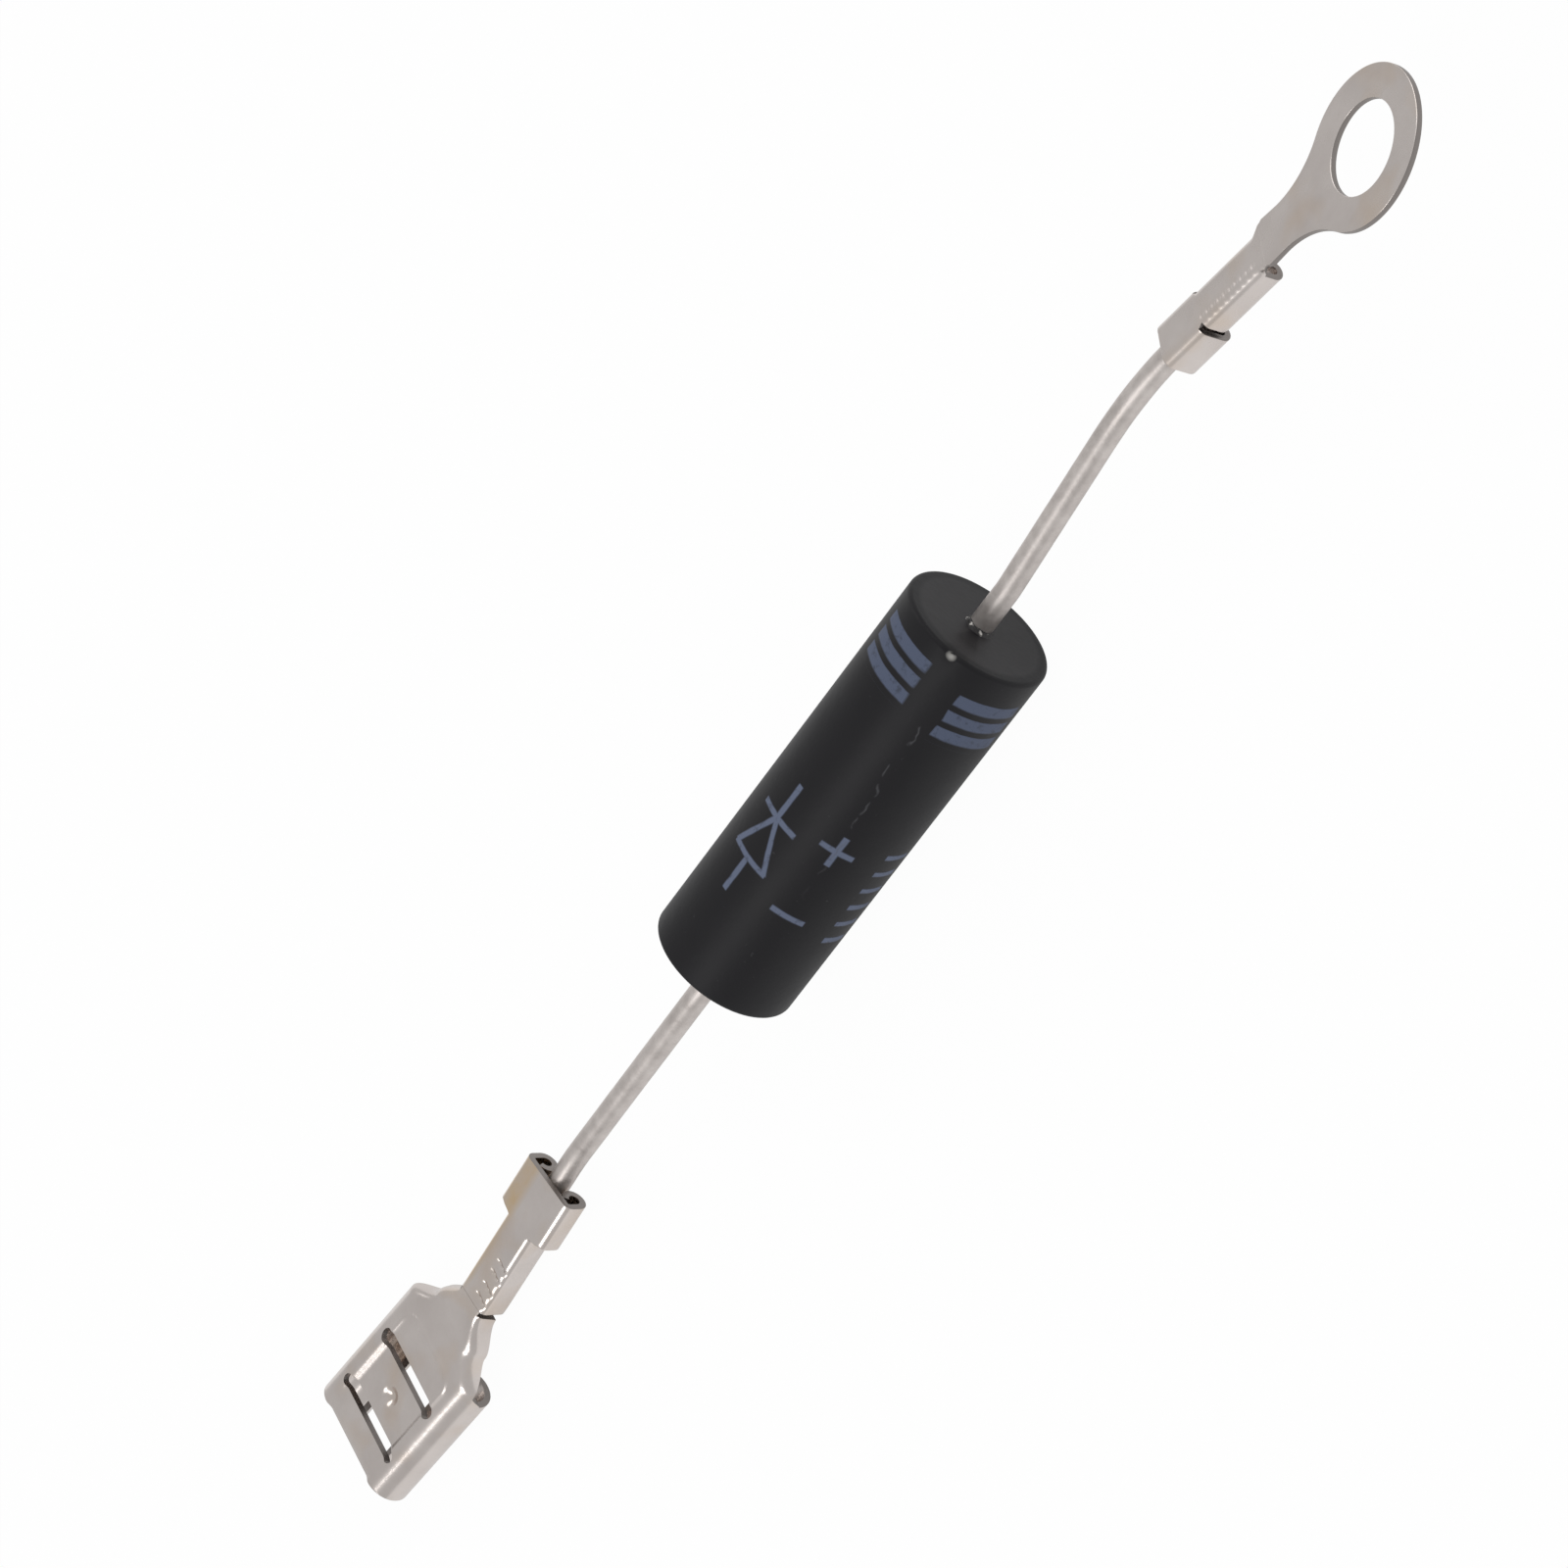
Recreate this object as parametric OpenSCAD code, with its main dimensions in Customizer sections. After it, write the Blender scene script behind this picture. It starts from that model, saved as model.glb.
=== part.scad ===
// High-voltage axial rectifier diode, ready to wire: a moulded epoxy body with a stack of
// silicon junctions inside, two formed leads, a ring terminal on the cathode lead and a
// female quick-connect receptacle on the anode lead.
// X runs along the body towards the cathode, Z is up, and the origin lies on the bench
// under the middle of the body.

/* [Body] */
// Diameter of the moulded body
body_d = 7.5; // [6:0.1:10]
// Length of the moulded body
body_len = 22.2; // [18:0.1:30]
// Rounding of the body's end rims
body_rim_r = 0.3; // [0.1:0.05:0.8]
// Height of the collar of resin where each lead leaves the body
root_collar_h = 0.35; // [0.1:0.05:0.8]
// Width of that collar round the lead
root_collar_w = 0.3; // [0.1:0.05:0.8]

/* [Junction stack] */
// Number of silicon junctions in series
die_count = 12; // [12:1:12]
// Diameter of a die
die_d = 2.2; // [1.6:0.1:2.6]
// Thickness of a die
die_t = 0.28; // [0.2:0.01:0.4]
// Thickness of a solder layer
solder_t = 0.06; // [0.03:0.01:0.1]
// Diameter of the passivating sleeve round the stack
coating_d = 3.8; // [3.4:0.1:4.6]
// Diameter of the head on the end of a lead
lead_head_d = 3; // [2.6:0.1:3.2]
// Thickness of that head
lead_head_t = 0.6; // [0.3:0.1:1]
// Play of a bonded joint between two round faces
bond_play = 0.02; // [0.01:0.01:0.04]

/* [Leads] */
// Diameter of both leads
lead_d = 1.2; // [1:0.05:1.4]
// Straight length of the cathode lead outside the body, up to its first corner
cathode_straight = 2.4; // [1.4:0.1:3]
// Bend radius at the cathode lead's first corner
cathode_root_bend_r = 4; // [2:0.5:5]
// Bend length of the cathode lead, from its last corner to the terminal
cathode_sweep = 3; // [2:0.5:5]
// Straight length of the anode lead outside the body, up to its first corner
anode_straight = 2.4; // [1.4:0.1:4]
// Bend radius of the anode lead
anode_bend_r = 6; // [3:0.5:8]
// Length from the anode lead's last corner to the terminal
anode_tail = 1.5; // [1:0.1:3]

/* [Ring terminal] */
// Distance of the ring's centre from the body's end, along the body
ring_reach = 30.8; // [28:0.1:36]
// Distance of the ring's centre from the body's axis, to the side
ring_aside = -2.7; // [-4:0.1:0]
// Height of the ring's centre above the body's axis
ring_lift = 3; // [1:0.1:4]
// Heading of the ring terminal, turned from the body's axis
ring_yaw = -14; // [-20:0.5:-6]
// Slope of the ring terminal, rising towards the ring
ring_pitch = 8; // [2:0.5:12]
// Roll of the ring terminal about its lead
ring_roll = -16.5; // [-25:0.5:0]
// Sheet thickness of the ring terminal
ring_sheet = 0.3; // [0.25:0.05:0.35]
// Outer diameter of the ring
ring_d = 7.4; // [7:0.1:9]
// Diameter of the stud hole
ring_hole_d = 4.3; // [3.7:0.1:4.7]
// Width of the neck behind the ring
ring_neck_w = 2.4; // [2.2:0.1:3.2]
// Radius of the fillets between ring and neck
ring_fillet_r = 4.5; // [3:0.5:6]
// Distance from the lead's entry to the ring's centre
ring_terminal_len = 14.9; // [14.5:0.1:18]
// Length of the ring terminal's strain relief
ring_relief_len = 2.6; // [2:0.1:3]
// Width of that strain relief
ring_relief_w = 2.7; // [2.6:0.05:3.2]
// Height of that strain relief
ring_relief_h = 2.3; // [2.25:0.05:2.6]
// Diameter of the curls of that strain relief
ring_relief_curl_d = 1; // [0.9:0.05:1.1]
// Length of the ring terminal's wire crimp
ring_crimp_len = 4.3; // [3.5:0.1:4.6]
// Width of the ring terminal's wire crimp
ring_crimp_w = 2.1; // [2:0.05:2.4]
// Height of the ring terminal's wire crimp
ring_crimp_h = 2; // [1.95:0.05:2.1]

/* [Receptacle] */
// Distance of the receptacle's mouth from the body's end, along the body
tab_reach = 37.1; // [35:0.1:42]
// Distance of the receptacle's mouth from the body's axis, to the side
tab_aside = 1.35; // [0:0.05:3]
// Heading of the receptacle, turned from the body's axis
tab_yaw = -3.6; // [-6:0.1:2]
// Turn of its crimps from that heading, at the neck
tab_neck_turn = 8.5; // [0:0.5:12]
// Sheet thickness of the receptacle
tab_sheet = 0.35; // [0.3:0.05:0.4]
// Overall width of the receptacle's box
tab_box_w = 7.5; // [7.2:0.1:8.2]
// Length of the receptacle's box
tab_box_len = 7.9; // [7.5:0.1:8.5]
// Diameter of the two side rolls
tab_roll_d = 2.55; // [2.5:0.05:2.8]
// Thickness of the tab that the receptacle takes
tab_blade_t = 0.8; // [0.5:0.1:0.8]
// Play of that tab in the receptacle
tab_blade_play = 0.05; // [0.02:0.01:0.1]
// Overall length of the receptacle
tab_terminal_len = 20; // [19.5:0.1:21]
// Length of the tapered shoulders behind the box
tab_taper_len = 3.9; // [3:0.1:4.2]
// Length of the receptacle's strain relief
tab_relief_len = 2.8; // [2:0.05:3]
// Width of that strain relief
tab_relief_w = 4; // [3.9:0.05:4.4]
// Height of that strain relief
tab_relief_h = 1.6; // [1.5:0.05:2]
// Diameter of the curls of that strain relief
tab_relief_curl_d = 1.3; // [1.1:0.05:1.3]
// Gap between the strain relief and the wire crimp on both terminals
crimp_gap = 0.3; // [0.2:0.1:0.6]
// Width of the receptacle's wire crimp
tab_crimp_w = 2.2; // [2.1:0.05:2.5]
// Height of the receptacle's wire crimp
tab_crimp_h = 2.1; // [2:0.05:2.2]
// Number of dents that the crimping tool leaves across the wire crimp
dent_count = 4; // [2:1:5]
// Depth of a dent
dent_depth = 0.12; // [0.05:0.01:0.2]

/* [Receptacle windows] */
// Length of the strip in front of the first window
tab_lip_len = 1.5; // [1:0.1:1.8]
// Rise of the flared front lip
tab_lip_rise = 0.15; // [0.05:0.05:0.3]
// Length of the front window
front_window_len = 1; // [0.6:0.1:1.2]
// Length of the bridge between the windows
bridge_len = 2.8; // [2.2:0.1:3]
// Length of the rear window
rear_window_len = 1; // [0.6:0.1:1.2]
// Reach of the windows into the rolls on each side
window_overreach = 0.25; // [0.1:0.05:0.5]
// Depth by which the bridge is pressed in
bridge_drop = 0.25; // [0.1:0.05:0.3]
// Width of the cranked ends of the bridge
bridge_crank_w = 0.6; // [0.4:0.1:1]
// Diameter of the locking dimple
dimple_d = 1.2; // [0.8:0.1:1.4]
// Depth of the locking dimple
dimple_depth = 0.3; // [0.15:0.05:0.35]
// Length of the pressed frame behind the rear window
frame_len = 2; // [1.2:0.1:2.4]
// Width of the bead of that frame
bead_w = 0.35; // [0.2:0.05:0.5]
// Height of that bead
bead_h = 0.1; // [0.05:0.05:0.2]

/* [Crimps] */
// Play between a lead and its crimp
crimp_play = 0.02; // [0.01:0.01:0.04]
// Width of the slit between the two crimped wings
crimp_slit = 0.08; // [0.04:0.01:0.15]

/* [Hidden] */
$fn = 64;
STACK_DIES = [for (i = [1 : die_count]) str("die_", i < 10 ? "0" : "", i)];
STACK_SOLDERS = [for (i = [0 : die_count]) str("solder_", i < 10 ? "0" : "", i)];

eps = 0.01;
resin_black = [0.13, 0.12, 0.13];
tinned = [0.72, 0.69, 0.66];
body_axis_z = body_d / 2;
lead_r = lead_d / 2;
stack_len = die_count * die_t + (die_count + 1) * solder_t;
head_end = stack_len / 2 + lead_head_t;
body_end = body_len / 2;
lead_bore_d = lead_d + 2 * bond_play;

// Depth of the lead's axis below the upper face of each terminal
ring_lead_drop = ring_sheet + crimp_play + lead_r;
tab_lead_drop = tab_sheet + crimp_play + lead_r;

// Stations along the terminals, counted from the lead's entry
ring_crimp_x = ring_relief_len + crimp_gap;
ring_neck_x = ring_crimp_x + ring_crimp_len;
tab_crimp_x = tab_relief_len + crimp_gap;
tab_box_x = tab_terminal_len - tab_box_len;
tab_taper_x = tab_box_x - tab_taper_len;
tab_crimp_len = tab_taper_x - tab_crimp_x;

// The ring terminal's frame: along it, across it and up from its face; its entry is where
// the lead's axis meets its rear end
ring_dir = [cos(ring_pitch) * cos(ring_yaw), cos(ring_pitch) * sin(ring_yaw), sin(ring_pitch)];
level_side = [-sin(ring_yaw), cos(ring_yaw), 0];
ring_side = level_side * cos(ring_roll) + cross(ring_dir, level_side) * sin(ring_roll);
ring_entry = [body_end + ring_reach, ring_aside, body_axis_z + ring_lift]
    - ring_terminal_len * ring_dir - ring_lead_drop * cross(ring_dir, ring_side);

// Headings of the receptacle's box and of its crimps; it lies flat on the bench
tab_dir = [-cos(tab_yaw), -sin(tab_yaw), 0];
tab_crimp_dir = [-cos(tab_yaw + tab_neck_turn), -sin(tab_yaw + tab_neck_turn), 0];
tab_entry = [-body_end - tab_reach, tab_aside, tab_roll_d - tab_lead_drop]
    - (tab_terminal_len - tab_taper_x) * tab_dir - tab_taper_x * tab_crimp_dir;

// Corner points of the formed leads; each lead ends inside its wire crimp
lead_inset = 0.5;
bend_swell = 0.01;
cathode_path = [
    [stack_len / 2 + lead_head_t / 2, 0, body_axis_z],
    [body_end + cathode_straight, 0, body_axis_z],
    ring_entry - cathode_sweep * ring_dir,
    ring_entry + (ring_neck_x - lead_inset) * ring_dir
];
anode_path = [
    [-stack_len / 2 - lead_head_t / 2, 0, body_axis_z],
    [-body_end - anode_straight, 0, body_axis_z],
    tab_entry - anode_tail * tab_crimp_dir,
    tab_entry + (tab_taper_x - lead_inset) * tab_crimp_dir
];

function unit(v) = v / norm(v);
function turn(a, b, c) = acos(unit(b - a) * unit(c - b));
function tangent_len(path, i, r) = r * tan(turn(path[i - 1], path[i], path[i + 1]) / 2);
function axes(x, y, o) = let (z = cross(x, y)) [
    [x.x, y.x, z.x, o.x], [x.y, y.y, z.y, o.y], [x.z, y.z, z.z, o.z], [0, 0, 0, 1]
];

// A round rod from a to b
module rod(a, b, d) {
    z = unit(b - a);
    x = unit(cross([0, 1, 0], z));
    multmatrix(axes(x, cross(z, x), a)) cylinder(h = norm(b - a), d = d);
}

// A quarter or less of a torus that rounds the corner b of the path a, b, c
module elbow(a, b, c, r, d) {
    u = unit(b - a);
    v = unit(c - b);
    inward = unit(v - (u * v) * u);
    start = b - u * r * tan(turn(a, b, c) / 2);
    multmatrix(axes(-inward, u, start + inward * r))
        rotate_extrude(angle = turn(a, b, c)) translate([r, 0]) circle(d = d);
}

// A wire along the corner points of path, rounded at each corner by its radius; it swells
// a little where it is bent, and its straight lengths seat inside its bends
module formed_wire(path, radii, d) {
    last = len(path) - 1;
    seat = 0.05;
    for (i = [0 : last - 1]) {
        u = unit(path[i + 1] - path[i]);
        from = i == 0 ? 0 : tangent_len(path, i, radii[i - 1]);
        to = i == last - 1 ? 0 : tangent_len(path, i + 1, radii[i]);
        rod(path[i] + (from - seat) * u, path[i + 1] - (to - seat) * u, d);
    }
    for (i = [1 : last - 1])
        elbow(path[i - 1], path[i], path[i + 1], radii[i - 1], d + 2 * bend_swell);
}

// The flat end of a wire inside the body, forged to a head; side is 1 or -1 along X
module lead_head(side) {
    translate([side * stack_len / 2, 0, body_axis_z]) rotate([0, side * 90, 0])
        cylinder(h = lead_head_t, d = lead_head_d);
}

// ---- Sheet-metal sections: the sheet's outer face lies on y = 0 and it hangs below ----

// A band of sheet rolled round the origin, open between two angles less than half a turn apart
module rolled_band(r, sheet, open_from, open_to) {
    mid = (open_from + open_to) / 2;
    difference() {
        circle(r);
        circle(r - sheet);
        polygon([[0, 0], for (a = [open_from, mid, open_to]) 2 * r * [cos(a), sin(a)]]);
    }
}

// A flat floor with both sides rolled under; sweep is how far each side curls
module rolled_section(width, sheet, roll_d, sweep) {
    flat_w = width - roll_d;
    translate([-flat_w / 2, -sheet]) square([flat_w, sheet]);
    for (side = [0, 1]) mirror([side, 0])
        translate([flat_w / 2, -roll_d / 2])
            rolled_band(roll_d / 2, sheet, 90, 450 - sweep);
}

// A flat floor whose sides go straight down and curl inwards at the foot, each with a tip
// that stands up beside the lead
module folded_section(width, height, sheet, curl_d, tip_len) {
    shoulder_r = sheet + 0.1;
    curl_r = curl_d / 2;
    foot_y = -height + curl_r;
    half = width / 2;
    translate([-half + shoulder_r, -sheet]) square([width - 2 * shoulder_r, sheet]);
    for (side = [0, 1]) mirror([side, 0]) {
        translate([half - shoulder_r, -shoulder_r]) rolled_quarter(shoulder_r, sheet);
        translate([half - sheet, foot_y]) square([sheet, -foot_y - shoulder_r]);
        translate([half - curl_r, foot_y]) difference() {
            circle(curl_r);
            circle(curl_r - sheet);
            translate([-curl_d, 0]) square(2 * curl_d);
        }
        translate([half - curl_d, foot_y]) square([sheet, tip_len]);
    }
}

module rolled_quarter(r, sheet) {
    intersection() {
        difference() {
            circle(r, $fn = 48);
            circle(r - sheet, $fn = 48);
        }
        square(2 * r);
    }
}

// A closed wire crimp: flat floor, rounded shoulders and two wings that roll into the wire
module crimp_section(width, height, sheet) {
    lobe_r = width / 4 + crimp_slit / 4;
    shoulder_r = sheet;
    wire_y = -(sheet + crimp_play + lead_r);
    difference() {
        union() {
            translate([-width / 2 + shoulder_r, -height / 2])
                square([width - 2 * shoulder_r, height / 2]);
            translate([-width / 2, -height + lobe_r])
                square([width, height - lobe_r - shoulder_r]);
            for (side = [-1, 1]) {
                translate([side * (width / 2 - shoulder_r), -shoulder_r]) circle(shoulder_r);
                translate([side * (width / 2 - lobe_r), -height + lobe_r]) circle(lobe_r);
            }
        }
        translate([0, wire_y]) circle(lead_r + crimp_play);
        translate([-crimp_slit / 2, -height - eps])
            square([crimp_slit, height + wire_y + eps]);
    }
}

// An arch of sheet: flat floor, rounded shoulders and straight legs; solid when filled
module arch_section(width, shoulder_r, depth, inset) {
    half = width / 2 - inset;
    r = max(shoulder_r - inset, 0.05);
    translate([-half + r, -inset - r]) square([2 * (half - r), r]);
    for (side = [-1, 1]) translate([side * (half - r), -inset - r]) circle(r, $fn = 32);
    translate([-half, -depth]) square([2 * half, depth - inset - r]);
}

// Lays a section across the terminal, from x to x + length
module along(x, length) {
    translate([x, 0, 0]) rotate([90, 0, 90]) linear_extrude(length) children();
}

// A slot with rounded ends, length along x and width along y, centred on y = 0
module window_outline(length, width) {
    r = length / 2 - eps;
    translate([0, -width / 2 + r]) square([length, width - 2 * r]);
    for (side = [-1, 1]) translate([length / 2, side * (width / 2 - r)]) circle(r);
}

// ---- Sub-parts ----

module epoxy_body() {
    module bore(length, d) {
        cylinder(h = length, d = d + 2 * bond_play, center = true);
    }
    color(resin_black) translate([0, 0, body_axis_z]) rotate([0, 90, 0]) difference() {
        union() {
            rotate_extrude() body_half_section();
            for (end = [0, 1]) mirror([0, 0, end]) translate([0, 0, body_end - eps])
                cylinder(h = root_collar_h + eps, r1 = lead_r + root_collar_w + bond_play, r2 = lead_r + 0.05);
        }
        bore(2 * body_len, lead_d);
        bore(2 * (head_end + bond_play), lead_head_d);
        bore(stack_len + 2 * bond_play, coating_d);
    }
}

// Half of the body's long section, with its rims rounded
module body_half_section() {
    body_r = body_d / 2;
    translate([0, -body_end]) square([body_r - body_rim_r, body_len]);
    translate([0, -body_end + body_rim_r]) square([body_r, body_len - 2 * body_rim_r]);
    for (end = [-1, 1]) translate([body_r - body_rim_r, end * (body_end - body_rim_r)]) circle(body_rim_r);
}

module junction_coating() {
    color("ivory") translate([-stack_len / 2, 0, body_axis_z]) rotate([0, 90, 0]) difference() {
        cylinder(h = stack_len, d = coating_d);
        translate([0, 0, -eps]) cylinder(h = stack_len + 2 * eps, d = die_d + 2 * bond_play);
    }
}

module stack_disc(layer_x, thickness) {
    translate([layer_x - stack_len / 2, 0, body_axis_z]) rotate([0, 90, 0])
        cylinder(h = thickness, d = die_d);
}

module die(i) {
    color("dimgray") stack_disc(i * solder_t + (i - 1) * die_t, die_t);
}

module solder(i) {
    color("lightgray") stack_disc(i * (solder_t + die_t), solder_t);
}

module cathode_lead() {
    entry_turn = turn(cathode_path[1], cathode_path[2], cathode_path[3]);
    color(tinned) {
        lead_head(1);
        formed_wire(cathode_path, [cathode_root_bend_r, cathode_sweep / tan(entry_turn / 2)], lead_d);
    }
}

module anode_lead() {
    color(tinned) {
        lead_head(-1);
        formed_wire(anode_path, [anode_bend_r, anode_bend_r], lead_d);
    }
}

// Points on an arc
function arc(centre, r, from, to, steps) =
    [for (i = [0 : steps]) let (a = from + (to - from) * i / steps) centre + r * [cos(a), sin(a)]];

// The neck seen from above; its filleted flanks run a little way into the ring
module neck_outline() {
    ring_r = ring_d / 2;
    fillet_y = ring_neck_w / 2 + ring_fillet_r;
    span = sqrt(pow(ring_r + ring_fillet_r, 2) - pow(fillet_y, 2));
    centre = [ring_terminal_len - span, fillet_y];
    flank = concat(
        [[ring_neck_x - eps, ring_crimp_w / 2 - ring_sheet], [ring_neck_x + 0.6, ring_neck_w / 2]],
        arc(centre, ring_fillet_r, -90, -atan2(fillet_y, span), 24),
        [[ring_terminal_len - ring_r / 2, ring_r / 2]]
    );
    polygon(concat(flank, [for (i = [len(flank) - 1 : -1 : 0]) [flank[i].x, -flank[i].y]]));
}

module ring_terminal() {
    tip_len = 0.25;
    color(tinned) multmatrix(axes(ring_dir, ring_side, ring_entry)) translate([0, 0, ring_lead_drop]) {
        difference() {
            translate([0, 0, -ring_sheet]) union() {
                linear_extrude(ring_sheet) neck_outline();
                translate([ring_terminal_len, 0, 0]) cylinder(h = ring_sheet, d = ring_d);
            }
            translate([ring_terminal_len, 0, -2 * ring_sheet])
                cylinder(h = 3 * ring_sheet, d = ring_hole_d);
        }
        along(ring_crimp_x, ring_crimp_len) crimp_section(ring_crimp_w, ring_crimp_h, ring_sheet);
        along(ring_relief_len - eps, crimp_gap + 2 * eps)
            translate([-ring_crimp_w / 2 + ring_sheet, -ring_sheet])
                square([ring_crimp_w - 2 * ring_sheet, ring_sheet]);
        along(0, ring_relief_len)
            folded_section(ring_relief_w, ring_relief_h, ring_sheet, ring_relief_curl_d, tip_len);
    }
}

// The tapered shoulders between the receptacle's wire crimp and its box
module taper_shoulders() {
    steps = 3;
    leg = tab_roll_d / 2 + 0.1;
    // Half a cosine blends the width and the shoulder radius from the crimp to the box
    function blend(k) = pow(sin(90 * k / steps), 1.4);
    function station_x(k) = tab_taper_x + tab_taper_len * k / steps;
    function station_w(k) = tab_crimp_w + (tab_box_w - tab_crimp_w) * (1 - blend(steps - k));
    function station_r(k) = tab_sheet + (tab_roll_d / 2 - tab_sheet) * k / steps;
    module lofted(inset) {
        for (k = [0 : steps - 1]) hull() for (j = [k, k + 1])
            along(station_x(j) - (inset > 0 ? eps : 0), inset > 0 ? 3 * eps : eps)
                arch_section(station_w(j), station_r(j), leg + inset, inset);
    }
    difference() {
        lofted(0);
        lofted(tab_sheet);
    }
}

// The bridge between the windows, cranked inwards and dimpled
module bridge() {
    floor_half = (tab_box_w - tab_roll_d) / 2;
    inner_half = floor_half - bridge_crank_w;
    x = tab_terminal_len - tab_lip_len - front_window_len - bridge_len;
    dimple_r = dimple_d / 2;
    // Radius of the ball whose cap is dimple_d wide and dimple_depth deep
    ball_r = (pow(dimple_r, 2) + pow(dimple_depth, 2)) / (2 * dimple_depth);
    ball_z = -bridge_drop - dimple_depth + ball_r;
    difference() {
        union() {
            along(x, bridge_len) polygon([
                [-floor_half, 0], [-inner_half, -bridge_drop], [inner_half, -bridge_drop], [floor_half, 0],
                [floor_half, -tab_sheet], [inner_half, -bridge_drop - tab_sheet],
                [-inner_half, -bridge_drop - tab_sheet], [-floor_half, -tab_sheet]
            ]);
            intersection() {
                translate([x + bridge_len / 2, 0, ball_z]) sphere(ball_r + tab_sheet);
                translate([x, -bridge_len / 2, -bridge_drop - tab_sheet - dimple_depth - eps])
                    cube([bridge_len, bridge_len, dimple_depth + tab_sheet / 2]);
            }
        }
        translate([x + bridge_len / 2, 0, ball_z]) sphere(ball_r);
    }
}

// The raised bead that frames three sides of the pad behind the rear window
module pad_bead() {
    corner_r = 0.9;
    width = tab_box_w - tab_roll_d;
    x = tab_terminal_len - tab_lip_len - front_window_len - bridge_len - rear_window_len;
    module outline(inset) {
        r = corner_r - inset;
        half = width / 2 - inset;
        translate([x - frame_len + inset, -half + r]) square([frame_len - inset, 2 * (half - r)]);
        translate([x - frame_len + inset + r, -half]) square([frame_len - inset - r, 2 * half]);
        for (side = [-1, 1]) translate([x - frame_len + inset + r, side * (half - r)]) circle(r);
    }
    translate([0, 0, -tab_sheet / 2]) linear_extrude(tab_sheet / 2 + bead_h) difference() {
        outline(0);
        outline(bead_w);
        translate([x - eps, -tab_box_w]) square([1, 2 * tab_box_w]);
    }
}

// The box, the bridge and the shoulders, drawn in the heading of the mouth
module receptacle_box() {
    // The curls end where the tab's lower face runs
    curl_tip_z = tab_sheet + bridge_drop + tab_blade_t + tab_blade_play;
    curl_sweep = 270 - asin((curl_tip_z - tab_roll_d / 2) / (tab_roll_d / 2));
    front_window_x = tab_terminal_len - tab_lip_len - front_window_len;
    bridge_x = front_window_x - bridge_len;
    rear_window_x = bridge_x - rear_window_len;
    floor_w = tab_box_w - tab_roll_d;
    window_w = floor_w + 2 * window_overreach;
    // Deep enough to go through the roll where the window reaches into it
    window_cut_depth = tab_roll_d / 2 - eps
        - sqrt(pow(tab_roll_d / 2 - tab_sheet, 2) - pow(window_overreach, 2)) + tab_sheet / 4;
    difference() {
        along(tab_box_x, tab_box_len) rolled_section(tab_box_w, tab_sheet, tab_roll_d, curl_sweep);
        translate([front_window_x, 0, -window_cut_depth]) linear_extrude(2 * window_cut_depth)
            window_outline(front_window_len, window_w);
        translate([rear_window_x, 0, -window_cut_depth]) linear_extrude(2 * window_cut_depth)
            window_outline(rear_window_len, window_w);
        translate([bridge_x - eps, -floor_w / 2, -2 * tab_sheet])
            cube([bridge_len + 2 * eps, floor_w, 3 * tab_sheet]);
    }
    bridge();
    pad_bead();
    // Flared front lip
    translate([tab_terminal_len - tab_lip_len / 2, floor_w / 2, 0]) rotate([90, 0, 0])
        linear_extrude(floor_w)
            polygon([[0, -tab_sheet / 2], [0, 0], [tab_lip_len / 2, tab_lip_rise],
                     [tab_lip_len / 2, tab_lip_rise - tab_sheet / 2]]);
    taper_shoulders();
}

module receptacle_terminal() {
    tip_len = 0.6;
    // Length by which the wire crimp reaches into the shoulders, across the turn at the neck
    neck_seat = 0.25;
    dent_r = 0.4;
    dent_pitch = tab_crimp_len / (dent_count + 1);
    crimp_heading = 180 + tab_yaw + tab_neck_turn;
    color(tinned) translate(tab_entry) rotate([0, 0, crimp_heading]) translate([0, 0, tab_lead_drop]) {
        translate([tab_taper_x, 0, 0]) rotate([0, 0, -tab_neck_turn]) translate([-tab_taper_x, 0, 0])
            receptacle_box();
        difference() {
            along(tab_crimp_x, tab_crimp_len + neck_seat)
                crimp_section(tab_crimp_w, tab_crimp_h, tab_sheet);
            for (i = [1 : dent_count])
                translate([tab_crimp_x + i * dent_pitch, 0, dent_r - dent_depth]) rotate([90, 0, 0])
                    cylinder(h = 2 * tab_crimp_w, r = dent_r, center = true);
        }
        along(tab_relief_len - eps, crimp_gap + 2 * eps)
            translate([-tab_crimp_w / 2 + tab_sheet, -tab_sheet])
                square([tab_crimp_w - 2 * tab_sheet, tab_sheet]);
        along(0, tab_relief_len)
            folded_section(tab_relief_w, tab_relief_h, tab_sheet, tab_relief_curl_d, tip_len);
    }
}

epoxy_body();
junction_coating();
cathode_lead();
anode_lead();
ring_terminal();
receptacle_terminal();
for (i = [1 : die_count]) die(i);
for (i = [0 : die_count]) solder(i);
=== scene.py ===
"""An axial rectifier diode with a crimped ring terminal and a crimped receptacle.

The diode lies on a pale floor: a black moulded body with printed cathode stripes, two formed
tinned leads, and two stamped terminals folded from thin plated strip. Sizes are in millimetres
and angles in degrees, unless a docstring says otherwise.
"""

import logging
import math
from collections.abc import Callable, Iterator, Sequence
from dataclasses import astuple, dataclass, field, replace
from enum import Enum
from typing import Protocol

import bmesh
import bpy
import numpy as np
from mathutils import Matrix, Vector


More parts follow.
